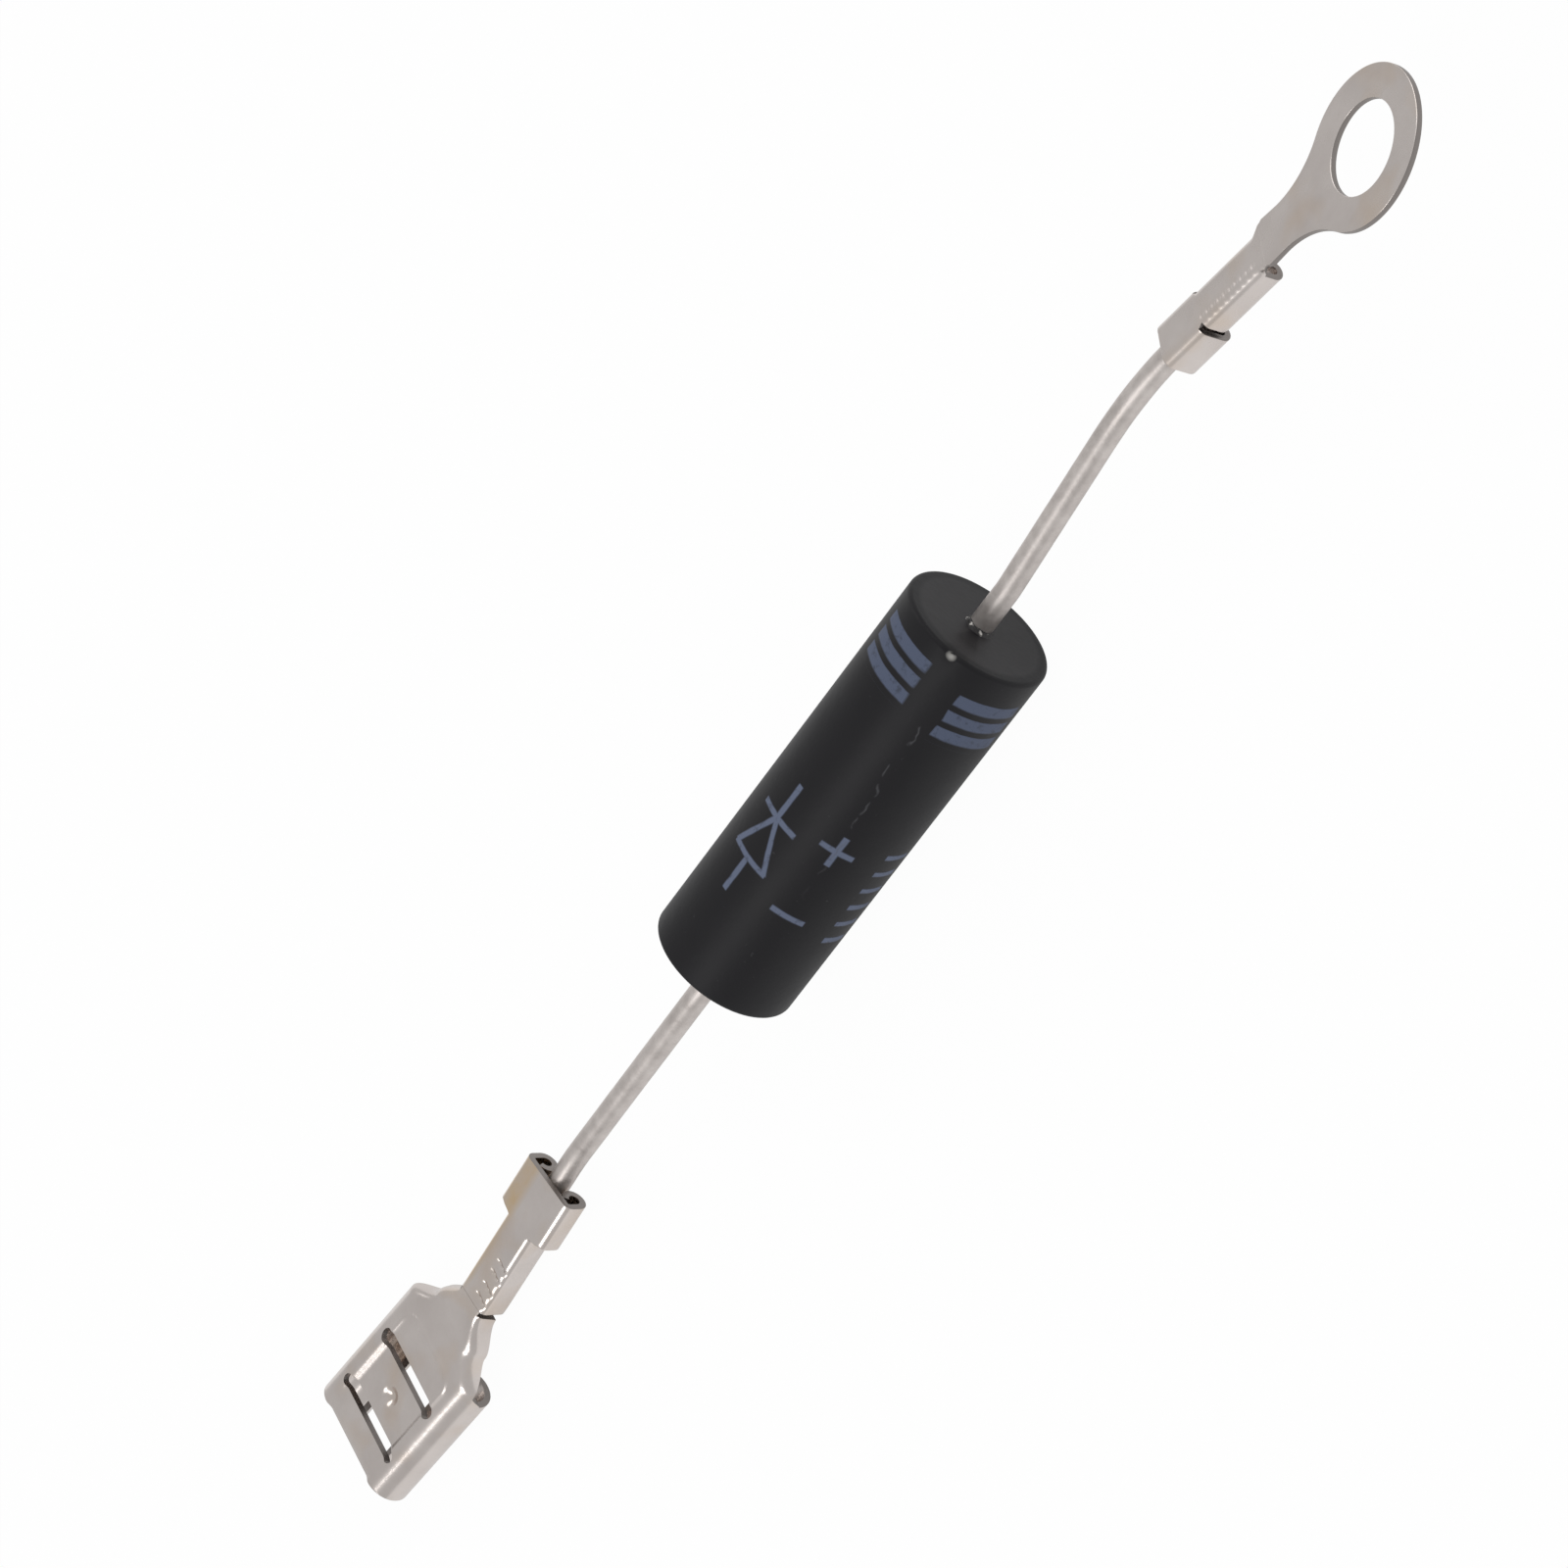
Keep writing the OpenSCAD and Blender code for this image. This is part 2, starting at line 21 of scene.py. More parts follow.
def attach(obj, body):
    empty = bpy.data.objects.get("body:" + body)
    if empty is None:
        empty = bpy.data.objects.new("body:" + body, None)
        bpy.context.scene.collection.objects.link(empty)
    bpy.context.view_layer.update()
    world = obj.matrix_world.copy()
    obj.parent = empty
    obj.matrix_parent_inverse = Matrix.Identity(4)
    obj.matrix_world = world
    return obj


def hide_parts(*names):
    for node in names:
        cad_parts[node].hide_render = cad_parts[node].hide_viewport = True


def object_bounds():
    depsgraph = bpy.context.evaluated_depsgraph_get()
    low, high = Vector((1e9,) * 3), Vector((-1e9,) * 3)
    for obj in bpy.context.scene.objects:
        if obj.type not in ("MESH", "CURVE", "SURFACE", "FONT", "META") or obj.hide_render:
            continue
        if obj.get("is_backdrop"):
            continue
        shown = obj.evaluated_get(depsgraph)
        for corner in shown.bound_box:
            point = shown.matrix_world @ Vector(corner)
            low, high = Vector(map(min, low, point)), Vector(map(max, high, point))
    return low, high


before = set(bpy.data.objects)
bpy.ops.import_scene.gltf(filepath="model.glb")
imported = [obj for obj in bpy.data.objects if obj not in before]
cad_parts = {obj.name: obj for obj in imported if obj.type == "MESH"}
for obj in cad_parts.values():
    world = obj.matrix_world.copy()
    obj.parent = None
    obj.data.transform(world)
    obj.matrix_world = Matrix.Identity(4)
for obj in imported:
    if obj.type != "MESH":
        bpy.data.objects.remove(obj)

MM = 0.001
BODY = "root"
CUT_NOTE = "cut"
ROUNDED_ABOVE = 50.0
WHITE = (1.0, 1.0, 1.0, 1.0)
log = logging.getLogger("diode")

Colour = tuple[float, float, float, float]
Flat = tuple[float, float]


class Slot(Enum):
    """Material slots of the part's record."""

    EPOXY = "epoxy_body"
    WIRE = "tinned_wire"
    SHEET = "plated_sheet"


class End(Enum):
    """The two ends of the body, and which way each points along x."""

    CATHODE = 1
    ANODE = -1


def smooth(t: float) -> float:
    """A smooth step from 0 at t = 0 to 1 at t = 1."""
    t = min(max(t, 0.0), 1.0)
    return t * t * (3 - 2 * t)


def mix(a: float, b: float, t: float) -> float:
    """The value a fraction t of the way from a to b."""
    return a + (b - a) * t


def shaded(colour: Colour, share: float) -> Colour:
    """The colour darkened to a share of itself."""
    return tuple(share * part for part in colour[:3]) + (1.0,)


def turned(yaw: float, pitch: float = 0.0, roll: float = 0.0) -> tuple[Vector, Vector, Vector]:
    """Three axes at right angles: along, across and up.

    Args:
        yaw: The heading of the first axis round the vertical.
        pitch: How far it climbs.
        roll: How far the other two are turned about it.

    Returns:
        The three axes.
    """
    y, p, r = (math.radians(angle) for angle in (yaw, pitch, roll))
    along = Vector((math.cos(p) * math.cos(y), math.cos(p) * math.sin(y), math.sin(p)))
    level = Vector((-math.sin(y), math.cos(y), 0))
    across = level * math.cos(r) + along.cross(level) * math.sin(r)
    return along, across, along.cross(across)


# ---- Node trees ----


class Wire:
    """A node socket that takes arithmetic."""

    def __init__(self, tree: "Tree", socket: bpy.types.NodeSocket | None) -> None:
        """Wraps a socket of a tree."""
        self.tree = tree
        self.socket = socket

    def _op(self, operation: str, *others: "Wire | float", swap: bool = False) -> "Wire":
        """A Math node fed by this socket and the others.

        Args:
            operation: The Math node's operation.
            others: Its further operands.
            swap: Whether the operands come in reverse order.

        Returns:
            The node's output.
        """
        operands: list[Wire | float] = [self, *others]
        if swap:
            operands.reverse()
        return self.tree.math(operation, *operands)

    def __add__(self, other: "Wire | float") -> "Wire":
        """This plus the other."""
        return self._op("ADD", other)

    __radd__ = __add__

    def __mul__(self, other: "Wire | float") -> "Wire":
        """This times the other."""
        return self._op("MULTIPLY", other)

    __rmul__ = __mul__

    def __sub__(self, other: "Wire | float") -> "Wire":
        """This less the other."""
        return self._op("SUBTRACT", other)

    def __rsub__(self, other: "Wire | float") -> "Wire":
        """The other less this."""
        return self._op("SUBTRACT", other, swap=True)

    def __truediv__(self, other: "Wire | float") -> "Wire":
        """This over the other."""
        return self._op("DIVIDE", other)

    def __rtruediv__(self, other: "Wire | float") -> "Wire":
        """The other over this."""
        return self._op("DIVIDE", other, swap=True)

    def __abs__(self) -> "Wire":
        """This without its sign."""
        return self._op("ABSOLUTE")

    def maximum(self, other: "Wire | float") -> "Wire":
        """The larger of the two."""
        return self._op("MAXIMUM", other)

    def below(self, edge: "Wire | float", soft: float) -> "Wire":
        """1 where this is under edge and 0 where it is over, with a soft border.

        Args:
            edge: The value of the border.
            soft: Half the width of the border.

        Returns:
            The mask.
        """
        return self.tree.clamp((edge - self) * (0.5 / soft) + 0.5)


class Tree:
    """Builds the nodes of one node tree."""

    def __init__(self, tree: bpy.types.NodeTree) -> None:
        """Starts on an empty tree."""
        self.tree = tree

    def node(
        self,
        kind: str,
        settings: dict[str, object] | None = None,
        inputs: dict[str | int, object] | None = None,
        output: str | int = 0,
    ) -> Wire:
        """Creates a node, sets it up and wires it.

        Args:
            kind: The node's type.
            settings: Properties of the node, set first.
            inputs: Values or wires for its sockets, by name or number.
            output: The socket to return.

        Returns:
            The chosen output.
        """
        made = self.tree.nodes.new(kind)
        for key, value in (settings or {}).items():
            setattr(made, key, value)
        for key, value in (inputs or {}).items():
            if isinstance(value, Wire):
                self.tree.links.new(value.socket, made.inputs[key])
            else:
                made.inputs[key].default_value = value
        return Wire(self, made.outputs[output] if made.outputs else None)

    def math(self, operation: str, *operands: Wire | float) -> Wire:
        """A Math node."""
        return self.node("ShaderNodeMath", {"operation": operation}, dict(enumerate(operands)))

    def clamp(self, value: Wire) -> Wire:
        """The value held between 0 and 1."""
        return self.node("ShaderNodeClamp", inputs={"Value": value})


@dataclass(frozen=True)
class Grain:
    """A noise pattern, and where patches of it lie.

    Attributes:
        scale: Its size, in cycles per metre.
        detail: How many finer layers it has.
        rough: How strong the finer layers are.
        floor: The value at which its patches begin.
        gain: How steeply they rise from there.
    """

    scale: float
    detail: float = 3.0
    rough: float = 0.5
    floor: float = 0.0
    gain: float = 1.0


class Graph(Tree):
    """Builds one material's node tree."""

    def __init__(self, name: str) -> None:
        """Starts a material with an empty tree.

        Args:
            name: The material's name.
        """
        self.material = bpy.data.materials.new(name)
        self.material.use_nodes = True
        super().__init__(self.material.node_tree)
        self.tree.nodes.clear()

    def position(self) -> Wire:
        """Object coordinates."""
        return self.node("ShaderNodeTexCoord", output="Object")

    def axes(self, vector: Wire) -> tuple[Wire, Wire, Wire]:
        """The three components of a vector."""
        split = self.node("ShaderNodeSeparateXYZ", inputs={0: vector})
        return tuple(Wire(self, out) for out in split.socket.node.outputs)

    def noise(self, vector: Wire, grain: Grain) -> Wire:
        """Noise from 0 to 1.

        Args:
            vector: Where it is read.
            grain: Its pattern.

        Returns:
            The noise.
        """
        return self.node(
            "ShaderNodeTexNoise",
            {"noise_dimensions": "3D"},
            {
                "Vector": vector,
                "Scale": grain.scale,
                "Detail": grain.detail,
                "Roughness": grain.rough,
            },
        )

    def patches(self, noise: Wire, grain: Grain) -> Wire:
        """Where the noise of a grain rises above its floor, from 0 to 1."""
        return self.clamp((noise - grain.floor) * grain.gain)

    def spots(self, vector: Wire, grain: Grain) -> Wire:
        """The patches of a grain that nothing else reads."""
        return self.patches(self.noise(vector, grain), grain)

    def blend(self, factor: Wire | float, a: Wire | Colour, b: Wire | Colour) -> Wire:
        """A colour between two others.

        Args:
            factor: The share of the second.
            a: The first colour.
            b: The second colour.

        Returns:
            The blended colour.
        """
        inputs = {0: factor, 6: a, 7: b}
        return self.node("ShaderNodeMix", {"data_type": "RGBA"}, inputs, output=2)

    def bump(self, height: Wire, distance: float) -> Wire:
        """A normal bent by a height of at most a distance."""
        inputs = {"Height": height, "Distance": distance * MM, "Strength": 1.0}
        return self.node("ShaderNodeBump", inputs=inputs)

    def surface(self, constants: dict[str, object], wires: dict[str, Wire]) -> bpy.types.Material:
        """Ends the tree in a Principled surface.

        Args:
            constants: Socket values that don't vary.
            wires: What feeds the varying sockets.

        Returns:
            The finished material.
        """
        shader = self.node("ShaderNodeBsdfPrincipled", inputs={**constants, **wires})
        self.node("ShaderNodeOutputMaterial", inputs={"Surface": shader})
        return self.material


# ---- Finishes ----


@dataclass(frozen=True)
class Ink:
    """The printed marks of the body.

    Turns are angles round the body from the start of the first group of stripes; places are
    distances along the body from its middle towards the cathode.

    Attributes:
        colour: The ink of the stripes.
        bright: The fresher ink of the marks.
        wear: Where the ink is worn.
        stripe_first: Cathode side of the first stripe.
        stripe_shift: How much further out the first group sits.
        group_start: Where the first group begins, from the y axis.
        pen: Half the width of a drawn line.
        ragged: How far the edges wander.
        feather: Softness of the ends of lines.
        marks_at: The middle of the drawn marks.
        symbol_half: Half the size of the symbol's triangle.
        symbol_reach: How far its two leads reach.
        flank_lean: The slope of its flanks.
        flank_thin: Their width against the pen's.
    """

    colour: Colour = (0.085, 0.105, 0.165, 1.0)
    bright: Colour = (0.125, 0.150, 0.225, 1.0)
    wear: Grain = Grain(2600.0, 3.0, 0.7, 0.30, 6.0)
    stripe_first: float = 9.6
    stripe_pitch: float = 0.96
    stripe_width: float = 0.64
    stripe_count: int = 3
    stripe_shift: float = 0.45
    group_start: float = 57.0
    group_arc: float = 57.0
    group_pitch: float = 85.0
    group_count: int = 4
    pen: float = 0.15
    ragged: float = 0.10
    feather: float = 0.03
    marks_at: float = -2.7
    symbol_turn: float = 34.0
    symbol_half: float = 1.3
    symbol_reach: float = 3.4
    flank_lean: float = 0.46
    flank_thin: float = 0.9
    sign_turn: float = 84.0
    sign_half: float = 0.9
    minus_at: float = -2.3
    plus_at: float = 2.0
    tally_turn: float = 134.0
    tally_half: float = 0.8
    tally_start: float = -3.5
    tally_end: float = 3.1
    tally_pitch: float = 1.1

    def within(self, value: Wire, low: float, high: float) -> Wire:
        """1 where a value lies between two others."""
        return (1.0 - value.below(low, self.feather)) * value.below(high, self.feather)

    def stripes(self, g: Graph, x: Wire, turn: Wire, wobble: Wire) -> Wire:
        """Groups of short stripes that ring the cathode end.

        Args:
            g: The material's tree.
            x: The place along the body.
            turn: The turn round it.
            wobble: A wandering value about 0.

        Returns:
            The ink's mask.
        """
        in_group = g.math("WRAP", turn + 2.5 * wobble, self.group_pitch, 0.0)
        group = abs(in_group - self.group_arc / 2).below(self.group_arc / 2, 1.0)
        group = group * turn.below(self.group_pitch * (self.group_count - 0.1), 1.0)
        first = self.stripe_first + self.stripe_shift * turn.below(self.group_pitch * 0.85, 1.0)
        down = (first - x + self.ragged * wobble) / self.stripe_pitch
        rows = down.below(float(self.stripe_count), 0.01) * (1.0 - down.below(0.0, 0.01))
        half = self.stripe_width / self.stripe_pitch / 2
        return group * rows * abs(g.math("FRACT", down) - half).below(half, 0.05)

    def marks(self, g: Graph, x: Wire, skin_turn: Wire, skin: float, wobble: Wire) -> Wire:
        """A diode's symbol, the signs of its ends and a tally, along the body.

        Args:
            g: The material's tree.
            x: The place along the body.
            skin_turn: The turn round it.
            skin: The length of one degree on its skin.
            wobble: A wandering value about 0.

        Returns:
            The ink's mask.
        """
        along = x - self.marks_at

        def stroke(distance: Wire) -> Wire:
            """The pen's mark where the distance to its line is small."""
            return (abs(distance) + self.ragged * wobble).below(self.pen, 0.04)

        half, reach = self.symbol_half, self.symbol_reach
        across = (skin_turn - self.symbol_turn) * skin
        flank = (abs(across) - (half - along) * self.flank_lean) * self.flank_thin
        marks = stroke(flank) * self.within(along, -half, half)
        for bar in (along + half, along - half):
            marks = marks.maximum(stroke(bar) * self.within(across, -half, half))
        leads = self.within(along, -reach, -half) + self.within(along, half, reach)
        marks = marks.maximum(stroke(across) * leads)
        across = (skin_turn - self.sign_turn) * skin
        for at in (self.minus_at, self.plus_at):
            dash = stroke(along - at) * self.within(across, -self.sign_half, self.sign_half)
            marks = marks.maximum(dash)
        crossing = self.within(along, self.plus_at - self.sign_half, self.plus_at + self.sign_half)
        marks = marks.maximum(stroke(across) * crossing)
        across = (skin_turn - self.tally_turn) * skin
        row = g.math("FRACT", (along - self.tally_start) / self.tally_pitch) - 0.5
        bars = stroke(row * self.tally_pitch)
        bars = bars * self.within(along, self.tally_start, self.tally_end)
        return marks.maximum(bars * self.within(across, -self.tally_half, self.tally_half))


@dataclass(frozen=True)
class MouldLine:
    """The faint broken line that the mould left along the body.

    Attributes:
        turn: Where it lies, from the start of the first group of stripes.
        crossing: The place along the body where it lies exactly there.
        lean: How far it turns for each millimetre.
        wander: How far it wanders.
        width: Half its width.
        start: Where it fades out.
        end: Where it stops at the stripes.
        gaps: Where it is broken.
    """

    turn: float = 76.0
    crossing: float = 7.0
    lean: float = 0.9
    wander: float = 14.0
    width: float = 0.7
    start: float = -1.0
    end: float = 7.4
    gaps: Grain = Grain(1400.0, 2.0, 0.5, 0.45, 8.0)

    def mask(self, g: Graph, where: Wire, x: Wire, turn: Wire, wobble: Wire) -> Wire:
        """The line's strength at a point.

        Args:
            g: The material's tree.
            where: The point.
            x: Its place along the body.
            turn: Its turn round the body.
            wobble: A wandering value about 0.

        Returns:
            The mask.
        """
        drift = turn - self.turn + (x - self.crossing) * self.lean + wobble * self.wander
        line = abs(drift).below(self.width, 0.5)
        line = line * (1.0 - x.below(self.start, 3.0)) * x.below(self.end, 0.3)
        return line * g.spots(where, self.gaps)


@dataclass(frozen=True)
class EpoxyFinish:
    """Satin black moulding compound with printed marks.

    Attributes:
        black: Its darkest colour.
        dusky: Its lightest colour.
        dust: The colour of fine specks.
        scuff: The colour of the mould's line.
        painted_end_light: A paler colour painted on the end faces as painted light, where light
            falls on them.
        chalk: The colour of bare filler at the chip.
        painted_end_light_inset: How far inside the rim the painted light on the end faces begins.
        lead_shadow_turn: Where a dark painted shadow of the lead crosses that painted light.
        lead_shadow_half: Half the angle of the painted shadow.
        lead_shadow_reach: Its length from the axis.
        grit: The height of the surface's grain.
    """

    radius: float
    axis_z: float
    half_length: float
    ink: Ink = Ink()
    mould_line: MouldLine = MouldLine()
    black: Colour = (0.0028, 0.0026, 0.0042, 1.0)
    dusky: Colour = (0.0070, 0.0064, 0.0088, 1.0)
    dust: Colour = (0.07, 0.07, 0.075, 1.0)
    scuff: Colour = (0.10, 0.10, 0.11, 1.0)
    # Painted light: a paler colour for the end faces, where light falls on them.
    painted_end_light: Colour = (0.020, 0.019, 0.021, 1.0)
    chalk: Colour = (0.42, 0.41, 0.39, 1.0)
    wobble: Grain = Grain(900.0, 2.0)
    clouds: Grain = Grain(260.0, 4.0, 0.6)
    specks: Grain = Grain(3400.0, 2.0, 0.6, 0.72, 14.0)
    crumbs: Grain = Grain(3000.0, 2.0, 0.5, 0.42, 9.0)
    fine: Grain = Grain(1500.0, 4.0, 0.6)
    swell: Grain = Grain(160.0, 2.0)
    roughness: float = 0.46
    reflectance: float = 0.30
    refraction: float = 1.5
    grit: float = 0.014
    # Where the painted light on the end faces begins, and the painted shadow of the lead across it.
    painted_end_light_inset: float = 0.55
    lead_shadow_turn: float = 66.0
    lead_shadow_half: float = 16.0
    lead_shadow_reach: float = 2.3
    chip_turn: float = 121.0
    chip_size: float = 0.20

    def material(self) -> bpy.types.Material:
        """The moulded body's material.

        Returns:
            The material.
        """
        g = Graph("moulded_epoxy")
        where = g.position()
        x, y, z = (axis / MM for axis in g.axes(where))
        z = z - self.axis_z
        angle = g.math("ARCTAN2", z, y) * (180 / math.pi)
        turn = g.math("WRAP", angle - self.ink.group_start, 360.0, 0.0)
        side = g.math("SQRT", y * y + z * z)
        on_side = 1.0 - side.below(self.radius - 0.2, 0.05)
        wobble = g.noise(where, self.wobble) - 0.5
        skin = math.pi / 180 * self.radius
        marks = self.ink.marks(g, x, turn, skin, wobble)
        ink = self.ink.stripes(g, x, turn, wobble).maximum(marks) * on_side
        coat = ink * (0.55 + 0.45 * g.spots(where, self.ink.wear))
        cloudy = g.noise(where, self.clouds)
        line = self.mould_line.mask(g, where, x, turn, wobble) * on_side * 0.5
        chipped = self._chipped(g, x, y, z) * g.spots(where, self.crumbs)
        colour = g.blend(cloudy, self.black, self.dusky)
        for mask, over in (
            (g.spots(where, self.specks) * 0.30, self.dust),
            (coat, g.blend(marks, self.ink.colour, self.ink.bright)),
            (line, self.scuff),
            # Painted light on the end faces, less a painted shadow of the lead below its root.
            (self._painted_end_light_mask(side, turn) * (1.0 - on_side), self.painted_end_light),
            (chipped, self.chalk),
        ):
            colour = g.blend(mask, colour, over)
        rough = self.roughness + 0.10 * cloudy + 0.10 * coat
        relief = g.noise(where, self.fine) + 0.6 * ink + 0.5 * g.noise(where, self.swell)
        return g.surface(
            {"IOR": self.refraction, "Specular IOR Level": self.reflectance},
            {"Base Color": colour, "Roughness": rough, "Normal": g.bump(relief, self.grit)},
        )

    def _painted_end_light_mask(self, side: Wire, turn: Wire) -> Wire:
        """Where the end faces are painted paler as painted light, less a dark painted shadow below
        the lead's root.

        Args:
            side: The distance from the axis.
            turn: The turn round it.

        Returns:
            The mask.
        """
        painted_end_light = side.below(self.radius - self.painted_end_light_inset, 0.12)
        # A dark painted shadow of the lead below its root, taken out of the painted light.
        painted_lead_shadow = abs(turn - self.lead_shadow_turn).below(self.lead_shadow_half, 3.0)
        return painted_end_light * (1.0 - 0.85 * (painted_lead_shadow * side.below(self.lead_shadow_reach, 0.3)))

    def _chipped(self, g: Graph, x: Wire, y: Wire, z: Wire) -> Wire:
        """The pale spot where the rim has chipped.

        Args:
            g: The material's tree.
            x: The place along the body.
            y: The place across it.
            z: The height over its axis.

        Returns:
            The mask.
        """
        at = math.radians(self.chip_turn)
        dy, dz = y - self.radius * math.cos(at), z - self.radius * math.sin(at)
        dx = x - (self.half_length - 0.15)
        away = g.math("SQRT", dx * dx + dy * dy + dz * dz)
        return away.below(self.chip_size, 0.10)


@dataclass(frozen=True)
class WarmReflection:
    """A painted reflection: a golden tint painted on one side of a crimp, where its bends reflect
    warm surroundings.

    It lies beyond edge from the line y = slope x + offset, and above x_min.
    """

    slope: float = 0.0857
    offset: float = 3.73
    edge: float = 0.75
    x_min: float = -36.0
    # The colour of the painted warm reflection.
    reflected_gold: Colour = (0.67, 0.515, 0.345, 1.0)
    floor: float = 0.27
    gain: float = 3.2

    def mask(self, g: Graph, where: Wire, clouds: Wire) -> Wire:
        """The tint's strength at a point.

        Args:
            g: The material's tree.
            where: The point.
            The painted reflection's strength at a point.

        Returns:
            The mask.
        """
        x, y, _ = (axis / MM for axis in g.axes(where))
        off = y - (x * self.slope + self.offset)
        beyond = (1.0 - off.below(self.edge, 0.25)) * (1.0 - x.below(self.x_min, 0.6))
        return g.clamp(beyond * g.clamp((clouds - self.floor) * self.gain))


@dataclass(frozen=True)
class TinFinish:
    """Tinned or tin-plated metal.

    Attributes:
        bright: The colour of its clean patches.
        dull: The colour of its dull ones.
        clouds: How the two are spread.
        grain: The fine grain of the surface.
        relief: The height of the grain.
        warm: The colour of faint warm patches.
        warmth: Their strength.
        cut_shade: How dark sheared edges are; 1 leaves them alone.
        warm_reflection: A golden painted reflection of warm surroundings on one side, if any.
    """

    name: str
    bright: Colour
    dull: Colour
    roughness: float
    clouds: Grain
    grain: Grain
    relief: float
    warm: Colour = (0.62, 0.44, 0.26, 1.0)
    warmth: float = 0.0
    warm_patches: Grain = Grain(330.0, 2.0, 0.5, 0.52, 5.0)
    cut_shade: float = 1.0
    warm_reflection: WarmReflection | None = None

    def material(self) -> bpy.types.Material:
        """The metal's material.

        Returns:
            The material.
        """
        g = Graph(self.name)
        where = g.position()
        clouds = g.noise(where, self.clouds)
        colour = g.blend(g.patches(clouds, self.clouds), self.dull, self.bright)
        if self.warmth:
            patch = g.spots(where, self.warm_patches)
            colour = g.blend(patch * self.warmth, colour, self.warm)
        # Painted reflection: a golden tint on one side, where the bends reflect warm surroundings.
        if self.warm_reflection:
            colour = g.blend(self.warm_reflection.mask(g, where, clouds), colour, self.warm_reflection.reflected_gold)
        rough = self.roughness * (0.75 + 0.5 * clouds)
        if self.cut_shade < 1.0:
            cut = g.node("ShaderNodeAttribute", {"attribute_name": CUT_NOTE}, output="Fac")
            colour = g.blend(cut, colour, shaded(self.dull, self.cut_shade))
            rough = rough + 0.15 * cut
        normal = g.bump(g.noise(where, self.grain), self.relief)
        return g.surface(
            {"Metallic": 1.0}, {"Base Color": colour, "Roughness": rough, "Normal": normal}
        )


@dataclass(frozen=True)
class ResinFinish:
    """Lumpy black resin with specks of tin."""

    name: str
    resin: Colour = (0.012, 0.010, 0.011, 1.0)
    tin: Colour = (0.50, 0.48, 0.46, 1.0)
    specks: Grain = Grain(2600.0, 2.0, 0.6, 0.58, 14.0)
    lumps: Grain = Grain(2200.0, 3.0, 0.6)
    roughness: float = 0.35
    relief: float = 0.12

    def material(self) -> bpy.types.Material:
        """The resin's material.

        Returns:
            The material.
        """
        g = Graph(self.name)
        where = g.position()
        specks = g.spots(where, self.specks)
        lumps = g.noise(where, self.lumps)
        return g.surface(
            {},
            {
                "Base Color": g.blend(specks, self.resin, self.tin),
                "Roughness": self.roughness + 0.2 * lumps,
                "Metallic": specks,
                "Normal": g.bump(lumps, self.relief),
            },
        )


@dataclass(frozen=True)
class HiddenFinish:
    """A quiet finish for what the body hides, with a faint variation."""

    name: str
    colour: Colour
    roughness: float
    metallic: float
    clouds: Grain = Grain(1200.0)

    def material(self) -> bpy.types.Material:
        """The hidden piece's material.

        Returns:
            The material.
        """
        g = Graph(self.name)
        clouds = g.noise(g.position(), self.clouds)
        shade = g.blend(clouds * 0.4, self.colour, shaded(self.colour, 0.7))
        rough = self.roughness * (0.9 + 0.2 * clouds)
        return g.surface({"Metallic": self.metallic}, {"Base Color": shade, "Roughness": rough})


@dataclass(frozen=True)
class FloorFinish:
    """A floor that looks white, glows in reflections and takes a shadow.

    Attributes:
        matt: Its own colour.
        glow: The share of white that the camera sees.
        mirrored: The share of white that reflections see.
    """

    name: str = "floor_white"
    matt: Colour = (0.9, 0.9, 0.9, 1.0)
    glow: float = 0.97
    mirrored: float = 0.5

    def material(self) -> bpy.types.Material:
        """The floor's material.

        Returns:
            The material.
        """
        g = Graph(self.name)
        matt = g.node("ShaderNodeBsdfDiffuse", inputs={"Color": self.matt})
        white = g.node("ShaderNodeEmission", inputs={"Color": WHITE, "Strength": 1.0})
        seen, glossy = (
            g.node("ShaderNodeLightPath", output=ray) for ray in ("Is Camera Ray", "Is Glossy Ray")
        )
        share = g.clamp(seen * self.glow + glossy * self.mirrored)
        both = g.node("ShaderNodeMixShader", inputs={0: share, 1: matt, 2: white})
        g.node("ShaderNodeOutputMaterial", inputs={"Surface": both})
        return g.material


# ---- Meshes ----


def in_scene(obj: bpy.types.Object) -> bpy.types.Object:
    """Links an object into the scene."""
    bpy.context.scene.collection.objects.link(obj)
    return obj


def add_piece(
    name: str,
    mesh: bpy.types.Mesh,
    material: bpy.types.Material,
    slot: Slot,
    stands_for: str | None = None,
) -> bpy.types.Object:
    """Puts a mesh into the scene as a piece of the part.

    Args:
        name: The piece's name.
        mesh: Its mesh, in the row frame.
        material: Its finish.
        slot: The record's material slot; not used.
        stands_for: The CAD node it replaces, if any.

    Returns:
        The new object.
    """
    mesh.materials.clear()
    mesh.materials.append(material)
    piece = in_scene(bpy.data.objects.new(name, mesh))
    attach(piece, BODY)
    if stands_for:
        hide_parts(stands_for)
    return piece


def evaluated(work: bpy.types.Object) -> bpy.types.Mesh:
    """The plain mesh that a temporary object comes to, which is then removed.

    Args:
        work: The object in the scene, with its modifiers or its curve.

    Returns:
        The mesh.
    """
    graph = bpy.context.evaluated_depsgraph_get()
    mesh = bpy.data.meshes.new_from_object(work.evaluated_get(graph))
    bpy.data.objects.remove(work)
    return mesh


def baked(
    name: str, mesh: bpy.types.Mesh, setup: Callable[[bpy.types.Object], None]
) -> bpy.types.Mesh:
    """A plain mesh from a mesh and the modifiers that setup adds.

    Args:
        name: The name of the result.
        mesh: The mesh to start from.
        setup: Adds the modifiers to a temporary object.

    Returns:
        The evaluated mesh.
    """
    work = in_scene(bpy.data.objects.new(f"{name}_work", mesh))
    setup(work)
    result = evaluated(work)
    result.name = name
    return result


